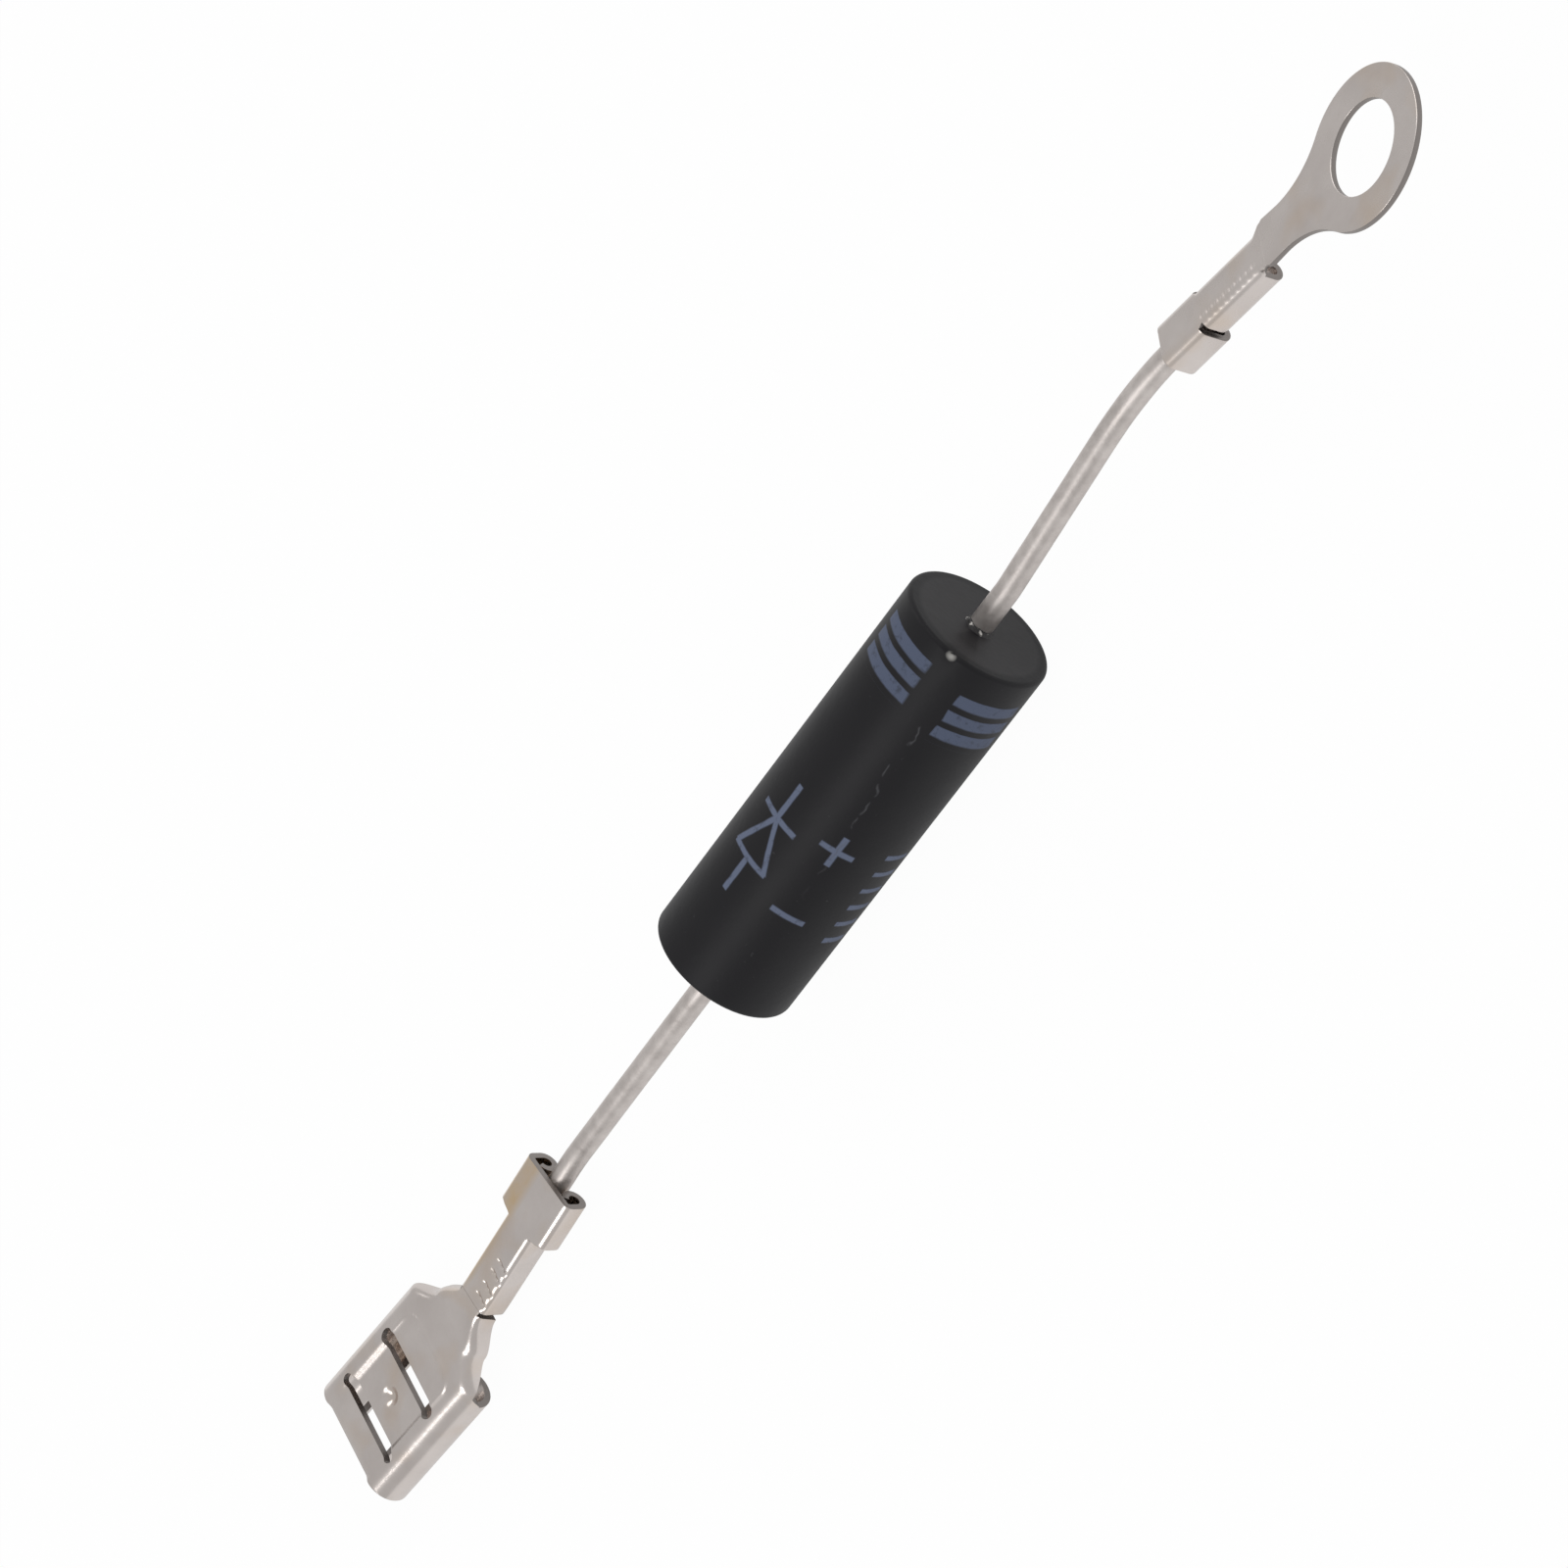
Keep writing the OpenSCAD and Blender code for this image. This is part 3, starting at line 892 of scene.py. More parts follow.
def mesh_from(
    name: str,
    points: Sequence[Sequence[float]],
    faces: Sequence[Sequence[int]],
    weld: float = 0.0,
) -> bpy.types.Mesh:
    """A mesh with outward normals and smooth shading.

    Args:
        name: The mesh's name.
        points: Its points, in metres.
        faces: Its faces, as numbers of points.
        weld: Points closer than this, in metres, are merged.

    Returns:
        The mesh.
    """
    mesh = bpy.data.meshes.new(name)
    mesh.from_pydata([tuple(p) for p in points], [], [tuple(f) for f in faces])
    work = bmesh.new()
    work.from_mesh(mesh)
    if weld:
        bmesh.ops.remove_doubles(work, verts=work.verts, dist=weld)
    bmesh.ops.recalc_face_normals(work, faces=work.faces)
    work.to_mesh(mesh)
    work.free()
    mesh.shade_smooth()
    return mesh


def tube_faces(rows: int, columns: int) -> list[tuple[int, int, int, int]]:
    """The faces between rows of points that each close round the x axis.

    Args:
        rows: How many rows there are.
        columns: How many points each has.

    Returns:
        The faces.
    """
    faces = []
    for i in range(rows - 1):
        for k in range(columns):
            here, there, after = i * columns, (i + 1) * columns, (k + 1) % columns
            faces.append((here + k, here + after, there + after, there + k))
    return faces


def joined(name: str, parts: Sequence[bpy.types.Mesh], crease: float = 40.0) -> bpy.types.Mesh:
    """Several meshes as one, smooth-shaded below an edge angle.

    Args:
        name: The name of the result.
        parts: The meshes.
        crease: The angle above which an edge is sharp.

    Returns:
        The joined mesh.
    """
    work = bmesh.new()
    for part in parts:
        work.from_mesh(part)
    mesh = bpy.data.meshes.new(name)
    work.to_mesh(mesh)
    work.free()
    mesh.shade_smooth()
    mesh.set_sharp_from_angle(angle=math.radians(crease))
    return mesh


class Maker(Protocol):
    """A sub-assembly that can make its piece."""

    def build(self) -> bpy.types.Object:
        """Makes the piece."""


# ---- The moulded body ----


@dataclass
class MouldedBody:
    """The moulded body: a lathed cylinder with rounded rims and a small chip at one of them.

    Attributes:
        finish: The finish, which also knows the body's size.
        rim: The radius of the rims.
        sides: How many columns the skin has.
        cap_rows: How many rows each end face has.
        skin_rows: How many rows lie along the body.
        chip_depth: How deep the chip is.
        chip_arc: How far it reaches round the rim.
        chip_reach: How far it reaches along and in from the rim.
    """

    finish: EpoxyFinish
    rim: float = 0.22
    sides: int = 96
    cap_rows: int = 8
    skin_rows: int = 40
    chip_depth: float = 0.12
    chip_arc: float = 7.0
    chip_reach: float = 0.5

    def build(self) -> bpy.types.Object:
        """Makes the body.

        Returns:
            The piece.
        """
        profile = self._profile()
        points = []
        for x, radius in profile:
            for k in range(self.sides):
                turn = 2 * math.pi * k / self.sides
                nick = self._chip(x, radius, math.degrees(turn))
                r = radius - nick
                y, z = r * math.cos(turn), r * math.sin(turn) + self.finish.axis_z
                points.append(((x - nick) * MM, y * MM, z * MM))
        faces = tube_faces(len(profile), self.sides)
        mesh = mesh_from("epoxy_shell", points, faces, weld=1e-7)
        return add_piece("epoxy_shell", mesh, self.finish.material(), Slot.EPOXY, "epoxy_body")

    def _profile(self) -> list[Flat]:
        """The body's outline as places along x and radii, from one axis point to the other.

        Returns:
            The outline's points.
        """
        half, r, rim = self.finish.half_length, self.finish.radius, self.rim
        arc = [math.radians(a) for a in range(10, 91, 10)]
        cap = np.linspace(0.0, r - rim, self.cap_rows)
        profile: list[Flat] = [(-half, k) for k in cap]
        profile += [(-half + rim - rim * math.cos(a), r - rim + rim * math.sin(a)) for a in arc]
        skin = np.linspace(-half + rim, half - rim, self.skin_rows)
        profile += [(x, r) for x in skin[1:-1]]
        arc.reverse()
        profile += [(half - rim + rim * math.cos(a), r - rim + rim * math.sin(a)) for a in arc]
        return profile + [(half, k) for k in cap[::-1]]

    def _chip(self, x: float, radius: float, turn: float) -> float:
        """The depth of the chip at a point of the skin.

        Args:
            x: The point's place along the body.
            radius: Its distance from the axis.
            turn: Its angle round the axis.

        Returns:
            The depth.
        """
        f = self.finish
        away = math.hypot(
            (turn - f.chip_turn) / self.chip_arc,
            (x - f.half_length) / self.chip_reach,
            (radius - f.radius) / self.chip_reach,
        )
        return self.chip_depth * max(0.0, 1.0 - away) if x > 0 else 0.0


@dataclass
class Meniscus:
    """The rough collar of resin and tin where a lead leaves the body.

    Attributes:
        sunk: How far it reaches into the body and the lead.
        swell: How much its lumps change its size.
        lumps: How many waves its lumps are made of.
    """

    end: End
    axis_z: float
    half_length: float
    lead_r: float
    seed: int
    height: float = 0.35
    width: float = 0.2
    sunk: float = 0.02
    swell: float = 0.35
    lumps: int = 6
    rows: int = 14
    sides: int = 64

    def build(self) -> bpy.types.Object:
        """Makes the collar as a lumpy ring.

        Returns:
            The piece.
        """
        rng = np.random.default_rng(self.seed)
        phases = rng.uniform(0, 2 * math.pi, (self.lumps, 2))
        side = self.end.value
        points = []
        for i in range(self.rows):
            t = i / (self.rows - 1)
            for k in range(self.sides):
                turn = 2 * math.pi * k / self.sides
                lump = self._lump(phases, turn, t)
                rise = self.height * t * (1 + 0.25 * lump * (1 - t)) - self.sunk
                reach = self.width * (1 - t) ** 2 * (1 + self.swell * lump)
                radius = self.lead_r - self.sunk + reach + 0.03 * lump * (1 - t)
                x = side * self.half_length + side * rise
                y, z = radius * math.cos(turn), radius * math.sin(turn) + self.axis_z
                points.append((x * MM, y * MM, z * MM))
        name = f"meniscus_{self.end.name.lower()}"
        mesh = mesh_from(name, points, tube_faces(self.rows, self.sides))
        return add_piece(name, mesh, ResinFinish(name).material(), Slot.EPOXY)

    def _lump(self, phases: np.ndarray, turn: float, t: float) -> float:
        """How lumpy the collar is at a point, from -1 to 1.

        Args:
            phases: Where each wave starts, round the collar and along it.
            turn: The point's angle, in radians.
            t: Its place from the body to the tip, from 0 to 1.

        Returns:
            The lump.
        """
        waves = (
            math.sin((n + 2) * turn + round_it) * math.cos(5 * t + along)
            for n, (round_it, along) in enumerate(phases)
        )
        return sum(waves) / self.lumps


# ---- Leads ----


@dataclass(frozen=True)
class Bend:
    """A corner of a wire's path and the radius that rounds it."""

    point: Vector
    radius: float = 0.0


class SweepNodes(Tree):
    """A geometry node tree that sweeps a round wire along an edge chain, with drawn-metal wear.

    Attributes:
        sockets: The identifier of each named input.
    """

    INPUTS = (
        ("Radius", "NodeSocketFloat"),
        ("Wear", "NodeSocketFloat"),
        ("Seed", "NodeSocketFloat"),
        ("Finish", "NodeSocketMaterial"),
    )
    STEPS = 420
    SIDES = 40
    DRAWN = Grain(650.0, 3.0)
    DENTS = Grain(3000.0, 2.0)
    DENT_SHARE = 0.35
    MIDDLE = 0.68

    def __init__(self) -> None:
        """Builds the tree."""
        super().__init__(bpy.data.node_groups.new("wire_sweep", "GeometryNodeTree"))
        face = self.tree.interface
        face.new_socket("Geometry", in_out="INPUT", socket_type="NodeSocketGeometry")
        self.sockets = {
            label: face.new_socket(label, in_out="INPUT", socket_type=kind).identifier
            for label, kind in self.INPUTS
        }
        face.new_socket("Geometry", in_out="OUTPUT", socket_type="NodeSocketGeometry")
        start = self.node("NodeGroupInput")
        given = {out.name: Wire(self, out) for out in start.socket.node.outputs}
        curve = self.node("GeometryNodeMeshToCurve", inputs={0: given["Geometry"]})
        fine = self.node("GeometryNodeResampleCurve", inputs={"Curve": curve, "Count": self.STEPS})
        ring = self.node(
            "GeometryNodeCurvePrimitiveCircle",
            inputs={"Resolution": self.SIDES, "Radius": given["Radius"]},
        )
        tube = self.node(
            "GeometryNodeCurveToMesh",
            inputs={"Curve": fine, "Profile Curve": ring, "Fill Caps": True},
        )
        place = self.node("GeometryNodeInputPosition")
        drawn = self._noise(place, given["Seed"], self.DRAWN)
        dents = self._noise(place, given["Seed"], self.DENTS)
        depth = (drawn + self.DENT_SHARE * dents - self.MIDDLE) * given["Wear"]
        offset = self.node(
            "ShaderNodeVectorMath",
            {"operation": "SCALE"},
            {0: self.node("GeometryNodeInputNormal"), "Scale": depth},
        )
        moved = self.node("GeometryNodeSetPosition", inputs={"Geometry": tube, "Offset": offset})
        shade = self.node("GeometryNodeSetShadeSmooth", inputs={0: moved})
        real = self.node("GeometryNodeRealizeInstances", inputs={0: shade})
        paint = self.node(
            "GeometryNodeSetMaterial", inputs={"Geometry": real, "Material": given["Finish"]}
        )
        self.node("NodeGroupOutput", inputs={0: paint})

    def _noise(self, place: Wire, seed: Wire, grain: Grain) -> Wire:
        """4D noise whose fourth coordinate is the seed.

        Args:
            place: Where it is read.
            seed: The seed.
            grain: Its pattern.

        Returns:
            The noise.
        """
        return self.node(
            "ShaderNodeTexNoise",
            {"noise_dimensions": "4D"},
            {"Scale": grain.scale, "Detail": grain.detail, "Vector": place, "W": seed},
        )


@dataclass
class FormedLead:
    """A round tinned lead, bent at its corners."""

    end: End
    path: list[Bend]
    radius: float
    seed: float
    nodes: SweepNodes
    finish: bpy.types.Material
    wear: float = 0.02
    arc_step: float = 1.5
    fewest_steps: int = 6

    def line(self) -> list[Vector]:
        """The points along the rounded path.

        Returns:
            The points, in millimetres.
        """
        bends = self.path
        points = [bends[0].point]
        for before, here, after in zip(bends, bends[1:], bends[2:]):
            u = (here.point - before.point).normalized()
            v = (after.point - here.point).normalized()
            turn = u.angle(v)
            cut = here.radius * math.tan(turn / 2)
            inward = (v - u * u.dot(v)).normalized()
            centre = here.point - u * cut + inward * here.radius
            steps = max(self.fewest_steps, round(math.degrees(turn) / self.arc_step))
            for k in range(steps + 1):
                angle = turn * k / steps
                out, on = here.radius * math.cos(angle), here.radius * math.sin(angle)
                points.append(centre - inward * out + u * on)
        points.append(bends[-1].point)
        return points

    def build(self) -> bpy.types.Object:
        """Makes the lead as one piece.

        Returns:
            The piece.
        """
        stands_for = f"{self.end.name.lower()}_lead"
        name = f"formed_{stands_for}"
        line = self.line()
        chain = bpy.data.meshes.new(f"{name}_line")
        edges = [(i, i + 1) for i in range(len(line) - 1)]
        chain.from_pydata([p * MM for p in line], edges, [])
        inputs = {
            "Radius": self.radius * MM,
            "Wear": self.wear * MM,
            "Seed": self.seed,
            "Finish": self.finish,
        }

        def setup(work: bpy.types.Object) -> None:
            """Adds the sweep with its inputs.

            Args:
                work: The object that carries the path.
            """
            sweep = work.modifiers.new("sweep", "NODES")
            sweep.node_group = self.nodes.tree
            for label, value in inputs.items():
                sweep[self.nodes.sockets[label]] = value

        return add_piece(name, baked(name, chain, setup), self.finish, Slot.WIRE, stands_for)


# ---- Folded sheet ----


@dataclass(frozen=True)
class Cuts:
    """How finely a section is divided."""

    floor: int = 24
    fold: int = 28
    leg: int = 3
    curl: int = 14

    @property
    def half(self) -> int:
        """Columns on one side of the middle."""
        return self.floor + self.fold + self.leg + self.curl


@dataclass(frozen=True)
class Section:
    """Half of a folded cross-section, from the middle of the floor outwards.

    The sheet's outer face runs flat for floor, turns down through fold degrees with radius
    fold_r, runs straight for leg, then turns inwards through curl degrees with radius curl_r.
    """

    floor: float
    fold_r: float
    fold: float
    leg: float
    curl_r: float
    curl: float

    def blend(self, other: "Section", t: float) -> "Section":
        """The section a fraction t of the way to another."""
        return Section(*(mix(a, b, t) for a, b in zip(astuple(self), astuple(other))))

    def points(self, cuts: Cuts) -> list[Flat]:
        """The outer face's points across the strip.

        Args:
            cuts: How finely it is divided.

        Returns:
            The points' distances from the middle and heights.
        """
        pts = [(self.floor * k / cuts.floor, 0.0) for k in range(cuts.floor + 1)]
        heading = self._arc(pts, 0.0, self.fold_r, self.fold, cuts.fold)
        y, z = pts[-1]
        step = self.leg / cuts.leg
        for k in range(1, cuts.leg + 1):
            pts.append((y + step * k * math.cos(heading), z - step * k * math.sin(heading)))
        self._arc(pts, heading, self.curl_r, self.curl, cuts.curl)
        return pts

    @staticmethod
    def _arc(pts: list[Flat], heading: float, r: float, degrees: float, count: int) -> float:
        """Appends an arc that turns downwards and inwards.

        Args:
            pts: The points so far, which the arc carries on from.
            heading: The slope at its start, in radians.
            r: Its radius.
            degrees: How far it turns.
            count: How many points it gets.

        Returns:
            The slope at its end, in radians.
        """
        y, z = pts[-1]
        cy, cz = y - r * math.sin(heading), z - r * math.cos(heading)
        for k in range(1, count + 1):
            h = heading + math.radians(degrees) * k / count
            pts.append((cy + r * math.sin(h), cz + r * math.cos(h)))
        return heading + math.radians(degrees)


Station = tuple[float, Section]


@dataclass
class SheetStrip:
    """A strip of sheet folded to a section that changes along it.

    Attributes:
        stations: Positions along the strip, with the section there.
        keep: Tells whether the face between two columns is there, from the mean position
            along the strip and the mean column.
        press: Height added to the face at (x, y) of the floor.
        spine: The point and heading of the strip's middle line at a position.
        cuts: How finely the sections are divided.
    """

    thickness: float
    stations: list[Station]
    keep: Callable[[float, float], bool]
    press: Callable[[float, float], float]
    spine: Callable[[float], tuple[float, float, float]]
    cuts: Cuts = field(default_factory=Cuts)

    def mesh(
        self, name: str, place: Matrix, setup: Callable[[bpy.types.Object], None]
    ) -> bpy.types.Mesh:
        """The strip as a closed mesh.

        Args:
            name: The mesh's name.
            place: From the terminal's frame in millimetres to the row frame in metres.
            setup: Adds further modifiers once the sheet has its thickness.

        Returns:
            The finished mesh.
        """
        mesh = bpy.data.meshes.new(name)
        mesh.from_pydata(self._points(place), [], self._faces())
        work = bmesh.new()
        work.from_mesh(mesh)
        bare = [v for v in work.verts if not v.link_faces]
        bmesh.ops.delete(work, geom=bare, context="VERTS")
        work.to_mesh(mesh)
        work.free()
        mesh.shade_smooth()

        def thicken(obj: bpy.types.Object) -> None:
            """Gives the sheet its thickness, then the further modifiers.

            Args:
                obj: The object that carries the outer face.
            """
            solid = obj.modifiers.new("sheet", "SOLIDIFY")
            solid.thickness = self.thickness * MM
            solid.offset = -1.0
            solid.use_even_offset = True
            solid.material_offset_rim = 1
            setup(obj)

        for _ in range(2):
            mesh.materials.append(None)
        made = baked(name, mesh, thicken)
        mark_cut(made, lambda face: face.material_index == 1)
        return made

    def _points(self, place: Matrix) -> list[Vector]:
        """The points of the outer face, row by row.

        Args:
            place: From the terminal's frame in millimetres to the row frame in metres.

        Returns:
            The points, in metres.
        """
        points = []
        for x, section in self.stations:
            right = [(y, z, k) for k, (y, z) in enumerate(section.points(self.cuts))]
            left = [(-y, z, k) for y, z, k in reversed(right[1:])]
            px, py, heading = self.spine(x)
            for y, z, k in left + right:
                fade = 1 - (k - self.cuts.floor) / (0.6 * self.cuts.fold)
                z += self.press(x, y) * min(1.0, max(0.0, fade))
                at = Vector((px - y * math.sin(heading), py + y * math.cos(heading), z))
                points.append(place @ at)
        return points

    def _faces(self) -> list[tuple[int, int, int, int]]:
        """The faces that the blank still has.

        Returns:
            The faces, as numbers of points.
        """
        half = self.cuts.half
        width = 2 * half + 1
        faces = []
        for i, (here, there) in enumerate(zip(self.stations, self.stations[1:])):
            mean_x = (here[0] + there[0]) / 2
            for j in range(width - 1):
                if self.keep(mean_x, j + 0.5 - half):
                    at = i * width + j
                    faces.append((at, at + width, at + width + 1, at + 1))
        return faces


def mark_cut(mesh: bpy.types.Mesh, is_cut: Callable[[bpy.types.MeshPolygon], bool]) -> None:
    """Notes on each face whether it is a sheared edge of the sheet.

    Args:
        mesh: The mesh.
        is_cut: Tells whether a face is a sheared edge.
    """
    note = mesh.attributes.new(CUT_NOTE, "FLOAT", "FACE")
    for face in mesh.polygons:
        note.data[face.index].value = 1.0 if is_cut(face) else 0.0
        face.material_index = 0


def round_edges(obj: bpy.types.Object, width: float = 0.03) -> None:
    """Rounds the sheet's cut edges.

    Args:
        obj: The object that gets the bevel.
        width: Its width.
    """
    bevel = obj.modifiers.new("edges", "BEVEL")
    bevel.width = width * MM
    bevel.segments = 2
    bevel.limit_method = "ANGLE"
    bevel.angle_limit = math.radians(ROUNDED_ABOVE)
    bevel.harden_normals = False


def stations_of(keys: Sequence[Station], step: float) -> list[Station]:
    """Stations with their sections, eased from each key to the next.

    Args:
        keys: Positions with their sections, in order.
        step: The widest spacing.

    Returns:
        Every position with its section, with each key's position among them.
    """
    out = [keys[0]]
    for (a, first), (b, second) in zip(keys, keys[1:]):
        count = max(1, math.ceil((b - a) / step - 1e-6))
        for k in range(count):
            x = a + (b - a) * (k + 1) / count
            out.append((x, first.blend(second, smooth((x - a) / (b - a)))))
    return out


@dataclass(frozen=True)
class TerminalFrame:
    """Where a terminal sits.

    Attributes:
        entry: Where the lead's axis enters it.
        axes: Its directions along, across and up.
        drop: How far the lead's axis lies below the sheet's upper face.
    """

    entry: Vector
    axes: tuple[Vector, Vector, Vector]
    drop: float

    @property
    def along(self) -> Vector:
        """The direction from the lead into the terminal."""
        return self.axes[0]

    def matrix(self) -> Matrix:
        """From the terminal's frame in millimetres to the row frame in metres.

        Returns:
            The matrix.
        """
        rows = Matrix(self.axes).transposed().to_4x4()
        rows.translation = self.entry + self.axes[2] * self.drop
        return Matrix.Scale(MM, 4) @ rows


# ---- Terminals ----


@dataclass
class Receptacle:
    """The female receptacle: rolled box, pressed bridge, shoulders, wire crimp and strain relief.

    Attributes:
        place: Where it sits.
        finish: Its material.
        roll_sweep: How far the box's side rolls turn.
        neck_turn: How far the box is turned against the crimps.
        neck_soft: Half the length over which it turns.
        gap: The slit between the relief and the wire crimp.
        slit: Half the slit between the wire crimp and the shoulders.
        lowered: How far the crimp's wings stay below their nominal height.
        lip: The length of the lip at the mouth.
        crown: How far the lip's edges bend down.
        overreach: How far the windows reach into the rolls.
        drop: How far the bridge is pressed down.
        crank: The width of the bridge's steps.
        frame_len: The length of the pad that the bead frames.
        bead_corner: The radius of the bead's corners.
        dent_depth: How deep the crimp's dents are.
        dent_half: Half the width of a dent.
        dent_first: The first dent's distance from the shoulders.
        dent_wander: How far the dents stray from an even pitch.
        dent_slant: How far they slant along the crimp.
        dent_middle: Where across the crimp they lie at their pitch.
    """

    place: TerminalFrame
    finish: bpy.types.Material
    thickness: float = 0.35
    length: float = 20.0
    box_w: float = 7.5
    box_len: float = 7.9
    roll_d: float = 2.55
    roll_sweep: float = 262.0
    taper_len: float = 3.9
    neck_turn: float = 8.5
    neck_soft: float = 0.9
    crimp_w: float = 2.2
    crimp_h: float = 2.1
    relief_len: float = 2.8
    relief_w: float = 4.0
    relief_h: float = 1.6
    relief_curl: float = 1.3
    gap: float = 0.3
    slit: float = 0.12
    lowered: float = 0.25
    lip: float = 1.65
    crown: float = 0.16
    front_window: float = 0.75
    bridge: float = 2.9
    rear_window: float = 1.0
    overreach: float = 0.25
    drop: float = 0.25
    crank: float = 0.6
    dimple_d: float = 1.2
    dimple_depth: float = 0.3
    frame_len: float = 2.0
    bead_w: float = 0.35
    bead_h: float = 0.1
    bead_corner: float = 0.9
    dents: int = 4
    dent_pitch: float = 0.76
    dent_depth: float = 0.15
    dent_half: float = 0.2
    dent_first: float = 0.55
    dent_wander: float = 0.05
    dent_slant: float = 0.3
    dent_middle: float = 0.6

    CUTS = Cuts(floor=26, fold=12, leg=3, curl=20)
    NECK_COLUMNS = CUTS.floor + 4
    WALL_COLUMNS = CUTS.floor + CUTS.fold + CUTS.leg
    SPACING = 0.1
    SPINE_STEPS = 12
    WINDOW_POINTS = 26
    WINDOW_DEPTH = (-1.1, 0.6)
    WINDOW_EDGE = 0.035

    @property
    def box_x(self) -> float:
        """Where the box starts."""
        return self.length - self.box_len

    @property
    def taper_x(self) -> float:
        """Where the shoulders start."""
        return self.box_x - self.taper_len

    @property
    def crimp_x(self) -> float:
        """Where the wire crimp starts."""
        return self.relief_len + self.gap

    @property
    def bridge_x(self) -> float:
        """Where the bridge starts."""
        return self.length - self.lip - self.front_window - self.bridge

    @property
    def half_floor(self) -> float:
        """Half the width of the box's flat floor."""
        return (self.box_w - self.roll_d) / 2

    @property
    def window_x(self) -> tuple[float, float, float, float]:
        """Where the rear window starts and ends, and the front window starts and ends."""
        mouth = self.length - self.lip
        return (self.bridge_x - self.rear_window, self.bridge_x, self.bridge_x + self.bridge, mouth)

    def spine(self, x: float) -> tuple[float, float, float]:
        """The middle line: straight, with a soft turn at the neck.

        Args:
            x: The distance along it.

        Returns:
            The point, and the heading there in radians.
        """
        turn = -math.radians(self.neck_turn)
        start = self.taper_x - self.neck_soft
        if x <= start:
            return x, 0.0, 0.0
        px, py = start, 0.0
        span = min(x, self.taper_x + self.neck_soft) - start
        step = span / self.SPINE_STEPS
        for k in range(self.SPINE_STEPS):
            share = (k + 0.5) / self.SPINE_STEPS * span / (2 * self.neck_soft)
            heading = turn * smooth(share)
            px += step * math.cos(heading)
            py += step * math.sin(heading)
        heading = turn * smooth(span / (2 * self.neck_soft))
        rest = max(0.0, x - self.taper_x - self.neck_soft)
        return px + rest * math.cos(heading), py + rest * math.sin(heading), heading

    def press(self, x: float, y: float) -> float:
        """The pressed shapes of the box's floor: crowned lip, bridge, dimple and bead.

        Args:
            x: The place along the terminal.
            y: The place across it.

        Returns:
            The height.
        """
        lift = self.bead_h * self._bead(x, y)
        if x > self.length - self.lip - 0.05:
            crowned = (x - self.length + self.lip / 2) / (self.lip / 2)
            inside = smooth((self.half_floor + 0.1 - abs(y)) / 0.5)
            lift -= self.crown * min(1.0, crowned**2) * inside
        mid = self.bridge_x + self.bridge / 2
        if abs(x - mid) < self.bridge / 2 + 0.5:
            lift -= self.drop * smooth((self.half_floor - abs(y)) / self.crank)
            away = math.hypot(x - mid, y) / (self.dimple_d / 2)
            lift -= self.dimple_depth * smooth(1.15 - away)
        return lift

    def _bead(self, x: float, y: float) -> float:
        """The bead that frames the pad, from 0 off it to 1 on its crest.

        Args:
            x: The place along the terminal.
            y: The place across it.

        Returns:
            The bead's share.
        """
        pad_end = self.window_x[0]
        half = self.half_floor - self.bead_w / 2
        start = pad_end - self.frame_len + self.bead_w / 2
        if x > pad_end + 0.3 or x < start - 1:
            return 0.0
        cx, cy = start + self.bead_corner, half - self.bead_corner
        if x < cx and abs(y) > cy:
            away = abs(math.hypot(cx - x, abs(y) - cy) - self.bead_corner)
        elif x < cx:
            away = abs(x - start)
        else:
            away = abs(abs(y) - half)
        return smooth(1 - away / (0.75 * self.bead_w))

    def _dented(self, x: float, y: float) -> float:
        """Wedge-shaped dents across one side of the wire crimp.

        Args:
            x: The place along the terminal.
            y: The place across it.

        Returns:
            The height.
        """
        lift = -0.012 * smooth((x - self.taper_x + 0.2) / 0.1)
        reach = smooth((y + 0.1) / 0.35)
        for i in range(self.dents):
            wander = self.dent_wander * math.sin(2.4 * i)
            centre = self.taper_x - self.dent_first - i * self.dent_pitch + wander
            away = abs(x - centre - self.dent_slant * (y - self.dent_middle)) / self.dent_half
            lift -= self.dent_depth * reach * max(0.0, 1 - away)
        return lift

    def _grip(self, crimp: Section, funnel: Section) -> SheetStrip:
        """The rear strip: strain relief and wire crimp.

        Args:
            crimp: The wire crimp's section.
            funnel: The section just past it.

        Returns:
            The strip.
        """
        curl_r, fold_r = self.relief_curl / 2, 0.45
        relief = Section(
            floor=self.relief_w / 2 - fold_r,
            fold_r=fold_r,
            fold=90.0,
            leg=self.relief_h - fold_r - curl_r,
            curl_r=curl_r,
            curl=250.0,
        )
        keys = [
            (0.0, relief),
            (self.relief_len, relief),
            (self.crimp_x, crimp),
            (self.taper_x - self.slit, crimp),
            (self.taper_x + self.slit, funnel),
        ]

        def kept(x: float, column: float) -> bool:
            """Everything but the slits beside the wire crimp."""
            whole = x < self.relief_len or self.crimp_x < x < self.taper_x - self.slit
            return whole or abs(column) < self.NECK_COLUMNS

        stations = stations_of(keys, self.SPACING)
        return SheetStrip(self.thickness, stations, kept, self._dented, self.spine, self.CUTS)

